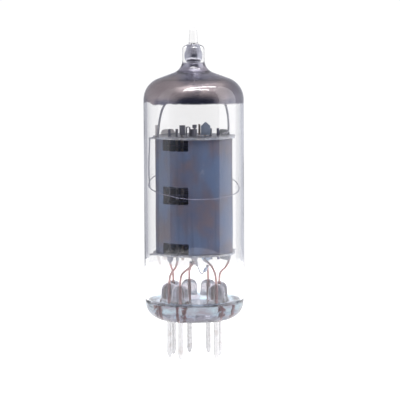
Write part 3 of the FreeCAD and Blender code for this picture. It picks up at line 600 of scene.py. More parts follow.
def rounded_outline(corners, steps=12):
    """Points along straight sides; a corner's third value, if it has one, rounds it by an arc."""
    points = []
    for i, corner in enumerate(corners):
        spot = Vector(corner[:2])
        if len(corner) < 3:
            points.append(spot)
            continue
        into = (spot - Vector(corners[i - 1][:2])).normalized()
        out = (Vector(corners[(i + 1) % len(corners)][:2]) - spot).normalized()
        turn = into.angle(out)
        sense = 1 if into.x * out.y > into.y * out.x else -1
        first = spot - into * corner[2] * math.tan(turn / 2)
        centre = first + Vector((-into.y, into.x)) * sense * corner[2]
        for k in range(steps + 1):
            spin = Matrix.Rotation(sense * turn * k / steps, 2)
            points.append(centre + spin @ (first - centre))
    return points


def skin(shape, rows, wrap=False, skip=None):
    """Faces between neighbouring rows of points; a pole's repeated point counts once."""
    for i, (lower, upper) in enumerate(zip(rows, rows[1:])):
        for k in range(len(lower) - (0 if wrap else 1)):
            after = (k + 1) % len(lower)
            corners = list(dict.fromkeys((lower[k], lower[after], upper[after], upper[k])))
            if len(corners) > 2 and not (skip and skip(i, k)):
                shape.faces.new(corners)


def lathe(outline, steps, centre=(0.0, 0.0)):
    """A closed surface turned about an upright line through the centre."""
    shape = bmesh.new()
    rings = []
    for across, up in outline:
        if across < NM:
            rings.append([shape.verts.new((*centre, up))] * steps)
            continue
        ring = []
        for k in range(steps):
            spin = 2 * math.pi * k / steps
            place = (centre[0] + across * math.cos(spin), centre[1] + across * math.sin(spin), up)
            ring.append(shape.verts.new(place))
        rings.append(ring)
    skin(shape, rings, True)
    return shape


def outward(shape, near=NM / 10):
    """The shape with its doubled points merged and its faces turned outwards."""
    bmesh.ops.remove_doubles(shape, verts=shape.verts, dist=near)
    bmesh.ops.recalc_face_normals(shape, faces=shape.faces)
    return shape


def linked(name, data):
    """A new object in the scene."""
    thing = bpy.data.objects.new(name, data)
    bpy.context.scene.collection.objects.link(thing)
    return thing


def as_object(name, shape):
    """An object from a bmesh."""
    mesh = bpy.data.meshes.new(name)
    shape.to_mesh(mesh)
    shape.free()
    return linked(name, mesh)


def settled(thing):
    """The object with its modifiers made into plain mesh."""
    graph = bpy.context.evaluated_depsgraph_get()
    mesh = bpy.data.meshes.new_from_object(thing.evaluated_get(graph))
    name = thing.name
    bpy.data.objects.remove(thing)
    mesh.name = name
    return linked(name, mesh)


def reshaped(thing, change):
    """The object after a change to the points and faces of its mesh."""
    shape = bmesh.new()
    shape.from_mesh(thing.data)
    change(shape)
    shape.to_mesh(thing.data)
    shape.free()
    return thing


def finished(thing, material, nodes, sharp=40):
    """A piece with its finish and smooth shading, riding on the tube in place of its nodes."""
    if material is not None:
        thing.data.materials.clear()
        thing.data.materials.append(material)
    thing.data.shade_smooth()
    thing.data.set_sharp_from_angle(angle=math.radians(sharp))
    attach(thing, BODY)
    if nodes:
        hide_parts(*nodes)
    return thing


def bevel(thing, width, segments=2):
    modifier = thing.modifiers.new("Edges", "BEVEL")
    modifier.width = width
    modifier.segments = segments
    modifier.limit_method = "ANGLE"
    modifier.angle_limit = math.radians(40)


def thicken(thing, wall, side=-1.0):
    modifier = thing.modifiers.new("Wall", "SOLIDIFY")
    modifier.thickness = wall
    modifier.offset = side
    modifier.use_even_offset = True


def add_spline(curve, kind, points, cyclic):
    spline = curve.splines.new(kind)
    spline.points.add(len(points) - 1)
    for point, spot in zip(spline.points, points):
        point.co = (*spot, 1.0)
    spline.use_cyclic_u = cyclic
    return spline


def wire_object(name, route, radius, order=3, sides=5, cyclic=False):
    """A round wire along the smooth curve through a route's control points."""
    curve = bpy.data.curves.new(name, "CURVE")
    curve.dimensions = "3D"
    curve.bevel_depth = radius
    curve.bevel_resolution = sides
    curve.resolution_u = 12
    curve.use_fill_caps = True
    spline = add_spline(curve, "NURBS", route, cyclic)
    spline.order_u = order
    spline.use_endpoint_u = not cyclic
    return reshaped(settled(linked(name, curve)), outward)


def polar(radius, spin, up):
    return Vector((radius * math.cos(spin), radius * math.sin(spin), up))


def ripple(spin, waves, level):
    """Smooth noise from -1 to 1 round the axis, with more waves round it the larger waves is."""
    return noise.noise(Vector((math.cos(spin) * waves, math.sin(spin) * waves, level)))


def between(start, end, across, up):
    """A point part of the way from start to end, by one share sideways and another upwards."""
    run = end - start
    return start + Vector((run.x * across, run.y * across, run.z * up))


# Geometry Nodes


def new_tree(name, inputs):
    """An empty tree with named number inputs, its maker and its inputs as wires."""
    tree = bpy.data.node_groups.new(name, "GeometryNodeTree")
    tree.interface.new_socket(name="Geometry", in_out="OUTPUT", socket_type="NodeSocketGeometry")
    for label, kind in inputs.items():
        tree.interface.new_socket(name=label, in_out="INPUT", socket_type=kind)
    maker = Maker(tree)
    entry = tree.nodes.new("NodeGroupInput")
    wires = {label: Wire(maker, entry.outputs[label]) for label in inputs}
    return maker, wires


def end_tree(maker, geometry):
    geometry = maker.node("GeometryNodeRealizeInstances", {}, {"Geometry": geometry})
    maker.node("NodeGroupOutput", {}, {"Geometry": geometry})


def painted(maker, geometry, material):
    return maker.node("GeometryNodeSetMaterial", {}, {"Geometry": geometry, "Material": material})


def grown(name, maker, values):
    """The plain mesh object that a tree makes with these inputs."""
    thing = linked(name, bpy.data.meshes.new(name))
    modifier = thing.modifiers.new("Growth", "NODES")
    modifier.node_group = maker.tree
    for item in maker.tree.interface.items_tree:
        if item.in_out == "INPUT":
            modifier[item.identifier] = values[item.name]
    made = settled(thing)
    slots = made.data.materials
    for index in reversed(range(len(slots))):
        if slots[index] is None:
            slots.pop(index=index)
    return made


def joined_geometry(maker, pieces):
    made = maker.tree.nodes.new("GeometryNodeJoinGeometry")
    for piece in reversed(pieces):
        maker.tree.links.new(piece.socket, made.inputs[0])
    return Wire(maker, made.outputs[0])


def straight(maker, low, high):
    return maker.node("GeometryNodeCurvePrimitiveLine", {}, {"Start": low, "End": high})


def swept(maker, line, sides, radius):
    """A round wire along a line."""
    values = {"Resolution": sides, "Radius": radius}
    ring = maker.node("GeometryNodeCurvePrimitiveCircle", {}, values)
    values = {"Curve": line, "Profile Curve": ring, "Fill Caps": True}
    return maker.node("GeometryNodeCurveToMesh", {}, values)


def pin_ring_tree(name, material, tapered):
    """Upright round wires on a circle with one place left empty."""
    labels = ("Circle Radius", "First Angle", "Low", "High", "Wire Radius", "Point Radius", "Taper")
    kinds = {label: "NodeSocketFloat" for label in labels}
    maker, given = new_tree(name, {**kinds, "Count": "NodeSocketInt"})
    spin = given["First Angle"] + maker.node("GeometryNodeInputIndex") * (math.pi / 4)
    circle = given["Circle Radius"]
    spot = maker.join(circle * maker.math("COSINE", spin), circle * maker.math("SINE", spin))
    places = maker.node("GeometryNodePoints", {}, {"Count": given["Count"], "Position": spot})
    line = straight(maker, maker.join(z=given["Low"]), maker.join(z=given["High"]))
    line = maker.node("GeometryNodeResampleCurve", {}, {"Curve": line, "Count": 72})
    up = maker.split(maker.node("GeometryNodeInputPosition"))[2]
    radius = given["Wire Radius"]
    if tapered:
        climb = maker.math("MINIMUM", (up - given["Low"]) / given["Taper"], 1.0)
        point = given["Point Radius"]
        radius = point + (radius - point) * climb ** 0.8
    line = maker.node("GeometryNodeSetCurveRadius", {}, {"Curve": line, "Radius": radius})
    wire = swept(maker, line, 28, 1.0)
    if "Scale" in wire.socket.node.inputs:
        maker.feed(wire.socket.node.inputs["Scale"], radius)
    wires = maker.node("GeometryNodeInstanceOnPoints", {}, {"Points": places, "Instance": wire})
    end_tree(maker, painted(maker, wires, material))
    return maker


def grid_tree(name, rod_material):
    """Two rods and the flattened helix of fine wire wound round them."""
    labels = ("Reach", "Side", "Rod Radius", "Rod Low", "Rod High")
    labels += ("Wire Radius", "Wire Low", "Wire High", "Turns")
    maker, given = new_tree(name, {label: "NodeSocketFloat" for label in labels})
    rods = []
    for side in (1.0, -1.0):
        across = given["Reach"] * side
        ends = [maker.join(across, z=given[end]) for end in ("Rod Low", "Rod High")]
        rods.append(swept(maker, straight(maker, *ends), 20, given["Rod Radius"]))
    rods = painted(maker, joined_geometry(maker, rods), rod_material)
    steps = 44
    line = maker.node("GeometryNodeCurvePrimitiveLine")
    values = {"Curve": line, "Count": given["Turns"] * steps}
    line = maker.node("GeometryNodeResampleCurve", {}, values)
    along = maker.node("GeometryNodeSplineParameter", output="Factor")
    spin = along * given["Turns"] * (2 * math.pi)

    def flattened(operation, reach, power):
        wave = maker.math(operation, spin)
        size = maker.math("ABSOLUTE", wave) ** power
        return reach * size * maker.math("SIGN", wave)

    across = flattened("COSINE", given["Reach"] + given["Rod Radius"] + given["Wire Radius"], 0.55)
    up = given["Wire Low"] + (given["Wire High"] - given["Wire Low"]) * along
    spot = maker.join(across, flattened("SINE", given["Side"], 0.75), up)
    line = maker.node("GeometryNodeSetPosition", {}, {"Geometry": line, "Position": spot})
    wire = painted(maker, swept(maker, line, 6, given["Wire Radius"]), grid_wire_finish())
    end_tree(maker, joined_geometry(maker, [rods, wire]))
    return maker


def weld_tree(name, material):
    """Small uneven beads of weld on every vertex of the points that it is given."""
    maker, given = new_tree(name, {"Spots": "NodeSocketObject", "Bead Radius": "NodeSocketFloat"})
    settings = {"transform_space": "ORIGINAL"}
    values = {"Object": given["Spots"]}
    spots = maker.node("GeometryNodeObjectInfo", settings, values, "Geometry")
    values = {"Radius": given["Bead Radius"], "Subdivisions": 3}
    bead = maker.node("GeometryNodeMeshIcoSphere", {}, values)
    values = {2: 0.75, 3: 1.15, "Seed": 4}
    random_size = maker.node("FunctionNodeRandomValue", {"data_type": "FLOAT"}, values, 1)
    stretch = maker.join(random_size, random_size, random_size * 1.3)
    values = {"Points": spots, "Instance": bead, "Scale": stretch}
    beads = maker.node("GeometryNodeInstanceOnPoints", {}, values)
    end_tree(maker, painted(maker, beads, material))
    return maker


# Pieces


def shoulder_level(depth=0.0):
    """Where the lines of wall and dome meet, on the outside or at a depth in the glass."""
    slope = sizes().dome_slope
    level = NECK_TOP - sizes().flare_drop - (BULB_RADIUS - NECK_RADIUS) * math.tan(slope)
    return level + depth * (math.tan(slope) - 1 / math.cos(slope))


def outer_glass():
    """The envelope's outside, from the middle of the underside to the top of the nipple."""
    size = sizes()
    return rounded_outline([
        (0.0, UNDERSIDE),
        (BULB_RADIUS, UNDERSIDE, size.base_corner),
        (BULB_RADIUS, shoulder_level(), size.shoulder_radius),
        (NECK_RADIUS, NECK_TOP - size.flare_drop, size.flare_radius),
        (NECK_RADIUS, NECK_TOP + size.neck_height, size.neck_round),
        (size.nipple_foot, NECK_TOP + size.nipple_rise, size.nipple_fillet),
        (size.nipple_radius, TIP_TOP, size.nipple_round),
        (0.0, TIP_TOP),
    ])


def shelf_level():
    """The shelf inside the throat, where the dome's mirror ends and the tip's begins."""
    return NECK_TOP - sizes().shelf_drop


def space_above(sink, steps=12):
    """The sealed space's side from the wall upwards, moved outwards into the glass by sink."""
    size = sizes()
    depth = size.glass_wall - sink
    shoulder = shoulder_level(depth)
    inside = BULB_RADIUS - depth
    neck = NECK_RADIUS - depth
    belly = THROAT_RADIUS + sink
    waist = belly - size.throat_step
    shelf = shelf_level() + sink
    points = rounded_outline([
        (inside, FILM_LOW),
        (inside, shoulder, size.shoulder_radius - depth),
        (neck, shoulder + (inside - neck) * math.tan(size.dome_slope), size.throat_round),
        (neck, shelf, size.shelf_round),
        (waist, shelf + size.shelf_rise),
    ], steps)[:-1]
    start = math.asin(waist / belly)
    egg = (CAVITY_TOP + sink - shelf - size.shelf_rise) / (1 + math.cos(start))
    for k in range(steps * 2 + 1):
        turn = math.pi - start + (start - math.pi) * k / (steps * 2)
        height = CAVITY_TOP + sink - egg * (1 - math.cos(turn))
        points.append(Vector((belly * math.sin(turn), height)))
    return points


def inner_glass():
    """The sealed space inside, from the middle of the base to the top of the tip's cavity."""
    size = sizes()
    floor = UNDERSIDE + size.base_thickness
    inside = BULB_RADIUS - size.glass_wall
    base = rounded_outline([(0.0, floor), (inside, floor, size.base_fillet), (inside, FILM_LOW)])
    return base[:-1] + space_above(0.0)


def mound_outline():
    """A mound of glass: a flared foot in the base, a straight waist and a rounded top."""
    radius = sizes().mound_radius
    floor = UNDERSIDE + sizes().base_thickness
    foot = floor - 0.6 * MM
    return rounded_outline([
        (0.0, foot),
        (radius + 0.5 * MM, foot),
        (radius + 0.35 * MM, floor, 0.15 * MM),
        (radius, floor + 0.8 * MM, 0.8 * MM),
        (radius - 0.12 * MM, MOUND_TOP, 1.2 * MM),
        (0.0, MOUND_TOP + 0.02 * MM),
    ], 6)


def build_glass():
    """One closed glass: its outside, and the sealed space less the mounds, turned inside out."""
    steps = sizes().round_steps
    cavity = as_object("cavity", outward(lathe(inner_glass(), steps)))
    cutters = []
    for spot in PIN_SPOTS:
        cutter = as_object("mound", outward(lathe(mound_outline(), 40, spot[:2])))
        modifier = cavity.modifiers.new("Mound", "BOOLEAN")
        modifier.operation = "DIFFERENCE"
        modifier.solver = "MANIFOLD"
        modifier.object = cutter
        cutters.append(cutter)
    for thing in [cavity] + cutters:
        thing.data.transform(Matrix.Scale(1 / MM, 4))
    cavity = settled(cavity)
    for cutter in cutters:
        bpy.data.objects.remove(cutter)
    cavity.data.transform(Matrix.Scale(MM, 4))
    shape = bmesh.new()
    shape.from_mesh(cavity.data)
    bpy.data.objects.remove(cavity)
    bmesh.ops.reverse_faces(shape, faces=shape.faces)
    outside = bpy.data.meshes.new("outside")
    outer = outward(lathe(outer_glass(), steps))
    outer.to_mesh(outside)
    outer.free()
    shape.from_mesh(outside)
    glass = as_object("glass_envelope", shape)
    finished(glass, glass_finish(), ["glass_bulb", "exhaust_tip", "button_stem"])


# Where runs of mirror hang lower: direction round the bulb and width in degrees, and depth.
DRIPS = (
    (206, 9, 0.5 * MM),
    (219, 5, 0.35 * MM),
    (268, 20, 0.22 * MM),
    (75, 16, 0.4 * MM),
    (130, 7, 0.5 * MM),
    (338, 30, 0.45 * MM),
)


def drip(spin):
    """How far the film's lower edge hangs below its line, round the bulb."""
    wave = ripple(spin, 2.2, 0.7) * 0.28 * MM + ripple(spin, 9, 3.1) * 0.1 * MM
    for centre, width, depth in DRIPS:
        off = (math.degrees(spin) - centre) / width
        wave += depth * math.exp(-off * off)
    return wave


def film_shell(name, line, steps, uneven):
    """A thin shell turned from a line. Its points keep their distance from an uneven lower edge."""
    shape = bmesh.new()
    kept = shape.verts.layers.float.new("depth")
    rings = []
    run = 0.0
    last = line[0]
    for spot in line:
        run += (spot - last).length
        last = spot
        fall = max(0.0, 1 - run / (1.2 * MM)) if uneven else 0.0
        if spot.x < NM:
            ring = [shape.verts.new((0.0, 0.0, spot.y))] * steps
        else:
            ring = []
            for k in range(steps):
                spin = 2 * math.pi * k / steps
                ring.append(shape.verts.new(polar(spot.x, spin, spot.y - drip(spin) * fall)))
        for vert in ring:
            vert[kept] = run / MM if uneven else 1.0
        rings.append(ring)
    skin(shape, rings, True)
    film = as_object(name, shape)
    thicken(film, sizes().film_wall)
    return settled(film)


def build_films():
    """The dome's mirror on the inner face of the glass up to the shelf, and the tip's above it."""
    line = space_above(sizes().film_sink, 20)
    start = FILM_LOW + 0.1 * MM
    edge = [Vector((line[0].x, start + i * 0.11 * MM)) for i in range(5)]
    split = shelf_level() + sizes().shelf_rise * 0.6
    dome = edge + [spot for spot in line[1:] if spot.y < split]
    film = film_shell("getter_mirror", dome, sizes().round_steps * 2, True)
    finished(film, film_finish(), ["getter_flash"], 80)
    film = film_shell("tip_mirror", [spot for spot in line if spot.y > split], 72, False)
    finished(film, tip_film_finish(), ["tip_flash"], 80)


def build_pins():
    """The contact pins below the glass, and the copper-sheathed wires that carry on through it."""
    first = math.atan2(PIN_SPOTS[0].y, PIN_SPOTS[0].x)
    shared = {"Circle Radius": PIN_CIRCLE, "First Angle": first, "Count": len(PIN_NAMES)}
    seal = UNDERSIDE + 0.5 * MM
    seal_radius = 0.22 * MM
    pins = {"Low": 0.0, "High": seal + 0.1 * MM, "Taper": 0.95 * MM}
    pins.update({"Wire Radius": PIN_RADIUS, "Point Radius": 0.2 * MM})
    wires = {"Low": seal, "High": MOUND_TOP - 0.5 * MM, "Taper": 1.0 * MM}
    wires.update({"Wire Radius": seal_radius, "Point Radius": seal_radius})
    tree = pin_ring_tree("Contact Pins", pin_finish(), True)
    made = grown("contact_pins", tree, {**shared, **pins})
    finished(made, None, PIN_NAMES, 50)
    tree = pin_ring_tree("Seal Wires", copper_finish(), False)
    made = grown("seal_wires_in_glass", tree, {**shared, **wires})
    finished(made, None, ["seal_wires"], 50)


# Where each lead bends, as shares of its run across and upwards from a point just above its mound.
LEAD_BENDS = {
    1: ((0.12, 0.4), (0.5, 0.82)),
    2: ((0.1, 0.25), (0.75, 0.5)),
    3: ((0.4, 0.5),),
    4: ((0.15, 0.4), (0.85, 0.5)),
    5: ((0.15, 0.3), (0.8, 0.7)),
    6: ((0.3, 0.35), (0.9, 0.65)),
    7: ((0.12, 0.4), (0.8, 0.72)),
}


def lead_route(index):
    """Control points of a lead, from inside its mound to the far corner of its frame box."""
    radius = sizes().lead_radius
    low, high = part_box("lead_" + str(index))
    spot = PIN_SPOTS[index - 1]
    end = Vector((0, 0, high.z - radius * 0.5))
    for axis in (0, 1):
        toward_low = spot[axis] - low[axis] > high[axis] - spot[axis]
        end[axis] = low[axis] + radius if toward_low else high[axis] - radius
    clear = Vector((spot.x, spot.y, MOUND_TOP + 0.9 * MM))
    if end.z < clear.z:
        clear.z = (MOUND_TOP + end.z) / 2
    bends = [between(clear, end, across, up) for across, up in LEAD_BENDS[index]]
    return [Vector((spot.x, spot.y, MOUND_TOP - 0.9 * MM)), clear, *bends, end]


def build_leads():
    """The seven leads, and a bead of weld at the end of each."""
    ends = bmesh.new()
    for index in LEAD_BENDS:
        route = lead_route(index)
        name = "lead_" + str(index)
        wire = wire_object(name + "_wire", route, sizes().lead_radius)
        finished(wire, lead_finish(), [name], 60)
        ends.verts.new(route[-1])
    marks = as_object("weld_marks", ends)
    tree = weld_tree("Weld Beads", nickel_finish())
    beads = grown("weld_beads", tree, {"Spots": marks, "Bead Radius": 0.24 * MM})
    bpy.data.objects.remove(marks)

    def roughen(shape):
        for vert in shape.verts:
            vert.co += vert.normal * noise.noise(vert.co * 4200) * 0.05 * MM

    finished(reshaped(beads, roughen), None, [], 80)


def past_seam(spin):
    """The same direction, counted on from the plate's seam."""
    return spin if spin > SEAM else spin + 2 * math.pi


def plate_columns(marks):
    """Even steps from seam to seam, with the marks in place of the steps beside them."""
    even = [SEAM + 2 * math.pi * k / 180 for k in range(181)]
    near = math.radians(0.7)
    clear = [spin for spin in even[1:] if min(abs(spin - mark) for mark in marks) >= near]
    return sorted({even[0], *clear, *marks})


def build_plate():
    """A rolled sheet with windows and lugs, built as a grid of bands round the axis."""
    size = sizes()
    low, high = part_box("plate")
    radius = (high.x - low.x) / 2
    skin_radius = radius - 0.05 * MM
    half_window = math.asin(size.window_width / 2 / radius)
    half_lug = math.asin(size.lug_foot / 2 / radius)
    half_top = math.asin(size.lug_top / 2 / radius)
    spans = [(middle, half_window) for middle in WINDOWS] + [(middle, half_lug) for middle in LUGS]
    marks = [past_seam(middle + side * half) for middle, half in spans for side in (-1, 1)]
    columns = plate_columns(marks)
    bands = [
        (PLATE_LOW, PLATE_LOW + size.window_end),
        (PLATE_LOW + size.window_low, PLATE_LOW + size.window_high),
        (PLATE_TOP - size.window_end, PLATE_TOP),
    ]
    edges = {edge for band in bands for edge in band}
    even = {PLATE_LOW + (PLATE_TOP - PLATE_LOW) * k / 40 for k in range(41)}
    levels = sorted({z for z in even if min(abs(z - e) for e in edges) > 0.2 * MM} | edges)

    def in_window(i, k):
        spin = (columns[k] + columns[k + 1]) / 2
        z = (levels[i] + levels[i + 1]) / 2
        away = [abs((spin - middle + math.pi) % (2 * math.pi) - math.pi) for middle in WINDOWS]
        return min(away) < half_window and any(foot < z < head for foot, head in bands)

    shape = bmesh.new()
    rows = []
    for z in levels:
        rows.append([])
        for spin in columns:
            dent = ripple(spin, 1.6, z * 160) * 0.05 * MM
            rows[-1].append(shape.verts.new(polar(skin_radius + dent, spin, z)))
    skin(shape, rows, skip=in_window)
    lug_steps = 6
    for row, tip in ((rows[-1], high.z), (rows[0], low.z)):
        foot = row[0].co.z
        for middle in map(past_seam, LUGS):
            places = [k for k, spin in enumerate(columns) if abs(spin - middle) < half_lug + 1e-6]
            lug = [[row[k] for k in places]]
            for step in range(1, lug_steps + 1):
                part = step / lug_steps
                narrow = 1 + (half_top / half_lug - 1) * part
                lug.append([])
                for k in places:
                    off = columns[k] - middle
                    drop = 0.06 * MM * (abs(off) / half_lug) ** 4 if step == lug_steps else 0.0
                    z = foot + (tip - foot) * part - math.copysign(drop, tip - foot)
                    lug[-1].append(shape.verts.new(polar(skin_radius, middle + off * narrow, z)))
            skin(shape, lug)
    bmesh.ops.recalc_face_normals(shape, faces=shape.faces)
    face = shape.faces[0]
    if face.normal.dot(face.calc_center_median() * Vector((1, 1, 0))) < 0:
        bmesh.ops.reverse_faces(shape, faces=shape.faces)
    loose = [vert for vert in shape.verts if not vert.link_faces]
    bmesh.ops.delete(shape, geom=loose, context="VERTS")
    plate = as_object("plate_cylinder", shape)
    thicken(plate, size.plate_wall)
    bevel(plate, 0.04 * MM)
    finished(settled(plate), carbon_finish(), ["plate"])
    build_seam(radius)


def build_seam(radius):
    """The strip that closes the plate at the back, with its row of pressed weld dimples."""
    shape = bmesh.new()
    width = math.radians(9)
    columns = 28
    rows = 120
    dimples = 5
    height = PLATE_TOP - PLATE_LOW
    grid = []
    for i in range(rows + 1):
        z = PLATE_LOW + 0.15 * MM + (height - 0.3 * MM) * i / rows
        grid.append([])
        for k in range(columns + 1):
            off = (k / columns - 0.5) * width
            press = 0.0
            for n in range(dimples):
                spot = PLATE_LOW + height * (n + 0.5) / dimples
                away = math.hypot(off * radius, z - spot) / (0.42 * MM)
                press += 0.09 * MM * math.exp(-away * away * 1.6)
            grid[-1].append(shape.verts.new(polar(radius + 0.07 * MM - press, SEAM + off, z)))
    skin(shape, grid)
    strip = as_object("plate_seam", shape)
    thicken(strip, 0.12 * MM)
    bevel(strip, 0.03 * MM)
    finished(settled(strip), carbon_finish(), [])


def mica_outline(level):
    """A disc a little larger than the plate, with two pointed ears that touch the glass."""
    disc = high_of("plate").y + 0.4 * MM
    ear = math.radians(11)
    reach = BULB_RADIUS - sizes().glass_wall - 0.03 * MM
    base = 5.05 * MM
    outline = []
    for k in range(360):
        spin = 2 * math.pi * k / 360
        off = spin - ear
        edge = 1 / (abs(math.cos(off)) / reach + abs(math.sin(off)) / base)
        ragged = ripple(spin, 14, level * 900) * 0.04 * MM
        outline.append(polar(max(disc, min(edge, reach - 0.08 * MM)) + ragged - 0.02 * MM, spin, 0))
    return outline


def mica_holes():
    """Round holes for the cathode and the rods, and slots for the plate's lugs."""
    plate_radius = high_of("plate").y
    holes = [(0.0, 0.68 * MM)]
    holes += [(side * reach, 0.29 * MM) for reach, _, _ in GRIDS.values() for side in (1, -1)]
    loops = []
    for centre, radius in holes:
        hole = [polar(radius, 2 * math.pi * k / 28, 0) for k in range(28)]
        loops.append([Vector((centre, 0, 0)) + spot for spot in hole])
    half = math.asin(2.42 * MM / plate_radius)
    for middle in LUGS:
        inner = [polar(plate_radius - 0.27 * MM, middle + half * (k / 6 - 1), 0) for k in range(13)]
        outer = [polar(plate_radius + 0.09 * MM, middle - half * (k / 6 - 1), 0) for k in range(13)]
        loops.append(inner + outer)
    return loops


def build_mica(node):
    """A disc with two pointed ears, punched for rods, cathode and the plate's lugs."""
    low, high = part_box(node)
    edge = 0.03 * MM
    curve = bpy.data.curves.new(node + "_sheet", "CURVE")
    curve.dimensions = "2D"
    curve.fill_mode = "BOTH"
    curve.extrude = (high.z - low.z) / 2 - edge
    curve.bevel_depth = edge
    curve.bevel_resolution = 1
    for loop in [mica_outline(low.z), *mica_holes()]:
        add_spline(curve, "POLY", loop, True)
    sheet = settled(linked(node + "_sheet", curve))
    sheet.data.transform(Matrix.Translation((0, 0, (low.z + high.z) / 2)))
    reshaped(sheet, lambda shape: outward(shape, NM / 2))
    finished(sheet, mica_finish(), [node])


def build_grids():
    """The three grids: each two rods and its winding."""
    finishes = {"control": rod_finish, "screen": nickel_finish, "suppressor": dark_rod_finish}
    for name, (reach, side, pitch) in GRIDS.items():
        tree = grid_tree("Wound " + name.title() + " Grid", finishes[name]())
        nodes = [name + "_grid_rods", name + "_grid_winding"]
        rods, coil = [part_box(node) for node in nodes]
        values = {
            "Reach": reach,
            "Side": side,
            "Rod Radius": 0.25 * MM,
            "Rod Low": rods[0].z,
            "Rod High": rods[1].z,
            "Wire Radius": sizes().winding_radius,
            "Wire Low": coil[0].z + 0.05 * MM,
            "Wire High": coil[1].z - 0.05 * MM,
            "Turns": round((coil[1].z - coil[0].z) / pitch),
        }
        finished(grown(name + "_grid", tree, values), None, nodes, 60)


def build_cathode():
    """The nickel sleeve at the middle and its sprayed coating."""
    for node, material, slot, wall, rough in (
        ("cathode_sleeve", nickel_finish(), "nickel_strip", 0.08 * MM, 0.0),
        ("cathode_coating", oxide_finish(), "oxide_coating", 0.055 * MM, 0.02 * MM),
    ):
        low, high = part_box(node)
        outside = high.x
        inside = outside - wall
        rows = [low.z + (high.z - low.z) * k / 60 for k in range(61)]
        outline = [(inside, rows[0])] + [(outside, z) for z in rows]
        outline += [(inside, z) for z in reversed(rows)]
        shape = outward(lathe([Vector(spot) for spot in outline], 48))
        for vert in shape.verts:
            if math.hypot(vert.co.x, vert.co.y) > outside - wall / 2:
                radial = Vector((vert.co.x, vert.co.y, 0)).normalized()
                vert.co -= radial * rough * (0.5 + noise.noise(vert.co * 2600))
        finished(as_object(node + "_tube", shape), material, [node], 50)


def stamped(name, outline, wall, place, turn, bow=0.0):
    """A strip standing on edge: a flat outline given some thickness, bowed a little and beveled."""
    shape = bmesh.new()
    verts = [shape.verts.new((across, 0.0, up)) for across, up in outline]
    shape.faces.new(verts)
    bmesh.ops.triangulate(shape, faces=shape.faces)
    bmesh.ops.subdivide_edges(shape, edges=shape.edges, cuts=3, use_grid_fill=True)
    spin = Matrix.Rotation(turn, 4, "Z")
    top = max(abs(up) for across, up in outline)
    for vert in shape.verts:
        vert.co.y += bow * (vert.co.z / top) ** 2
        vert.co = spin @ vert.co + Vector(place)
    thing = as_object(name, shape)
    thicken(thing, wall, 0.0)
    bevel(thing, wall * 0.2)
    return settled(thing)


def box_outline(node, kind):
    """A strip's outline that fills its place in the frame, about the middle of its foot or head."""
    low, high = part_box(node)
    width = max(high.x - low.x, high.y - low.y) / 2
    foot = low.z
    rise = high.z - low.z
    shapes = {
        "plain": ((-1, 0), (1, 0), (1, 1), (-1, 1)),
        "house": ((-1, 0), (1, 0), (1, 0.7), (0.1, 1), (-0.1, 1), (-1, 0.7)),
        "pointed": ((-1, 1), (-1, 0.43), (-0.12, 0), (0.12, 0), (1, 0.43), (1, 1)),
        "headed": (
            (-0.5, 0), (0.5, 0), (0.5, 0.667), (1, 0.667),
            (1, 1), (-1, 1), (-1, 0.667), (-0.5, 0.667),
        ),
        "leaning": ((-1, 1), (0.33, 1), (1, 0), (0.33, 0)),
    }
    return [(across * width, foot + up * rise) for across, up in shapes[kind]]


def build_strips():
    """Fins and strips above and below the cage, each in the place that the frame gives it."""
    plans = (
        ("control_grid_fin", "house", carbon_finish, "carbonised_metal", 0.12),
        ("edge_fin", "plain", nickel_finish, "nickel_strip", 0.05),
        ("control_grid_low_fin", "pointed", carbon_finish, "carbonised_metal", 0.0),
        ("suppressor_low_fin", "pointed", nickel_finish, "nickel_strip", 0.0),
        ("cathode_strap", "headed", nickel_finish, "nickel_strip", -0.08),
        ("upright_strap", "plain", tan_nickel_finish, "nickel_strip", 0.1),
        ("cathode_tab", "plain", nickel_finish, "nickel_strip", 0.05),
        ("heater_tab_left", "plain", nickel_finish, "nickel_strip", 0.0),
        ("heater_tab_right", "plain", nickel_finish, "nickel_strip", 0.0),
        ("getter_tab", "plain", carbon_finish, "carbonised_metal", 0.05),
        ("plate_tab", "leaning", carbon_finish, "carbonised_metal", 0.0),
    )
    for node, kind, material, slot, bow in plans:
        middle = middle_of(node)
        low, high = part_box(node)
        turn = 0.0 if high.x - low.x > high.y - low.y else math.pi / 2
        outline = [(across, up - middle.z) for across, up in box_outline(node, kind)]
        wall = min(high.x - low.x, high.y - low.y)
        piece = stamped(node + "_sheet", outline, wall, middle, turn, bow * MM)
        finished(piece, material(), [node])


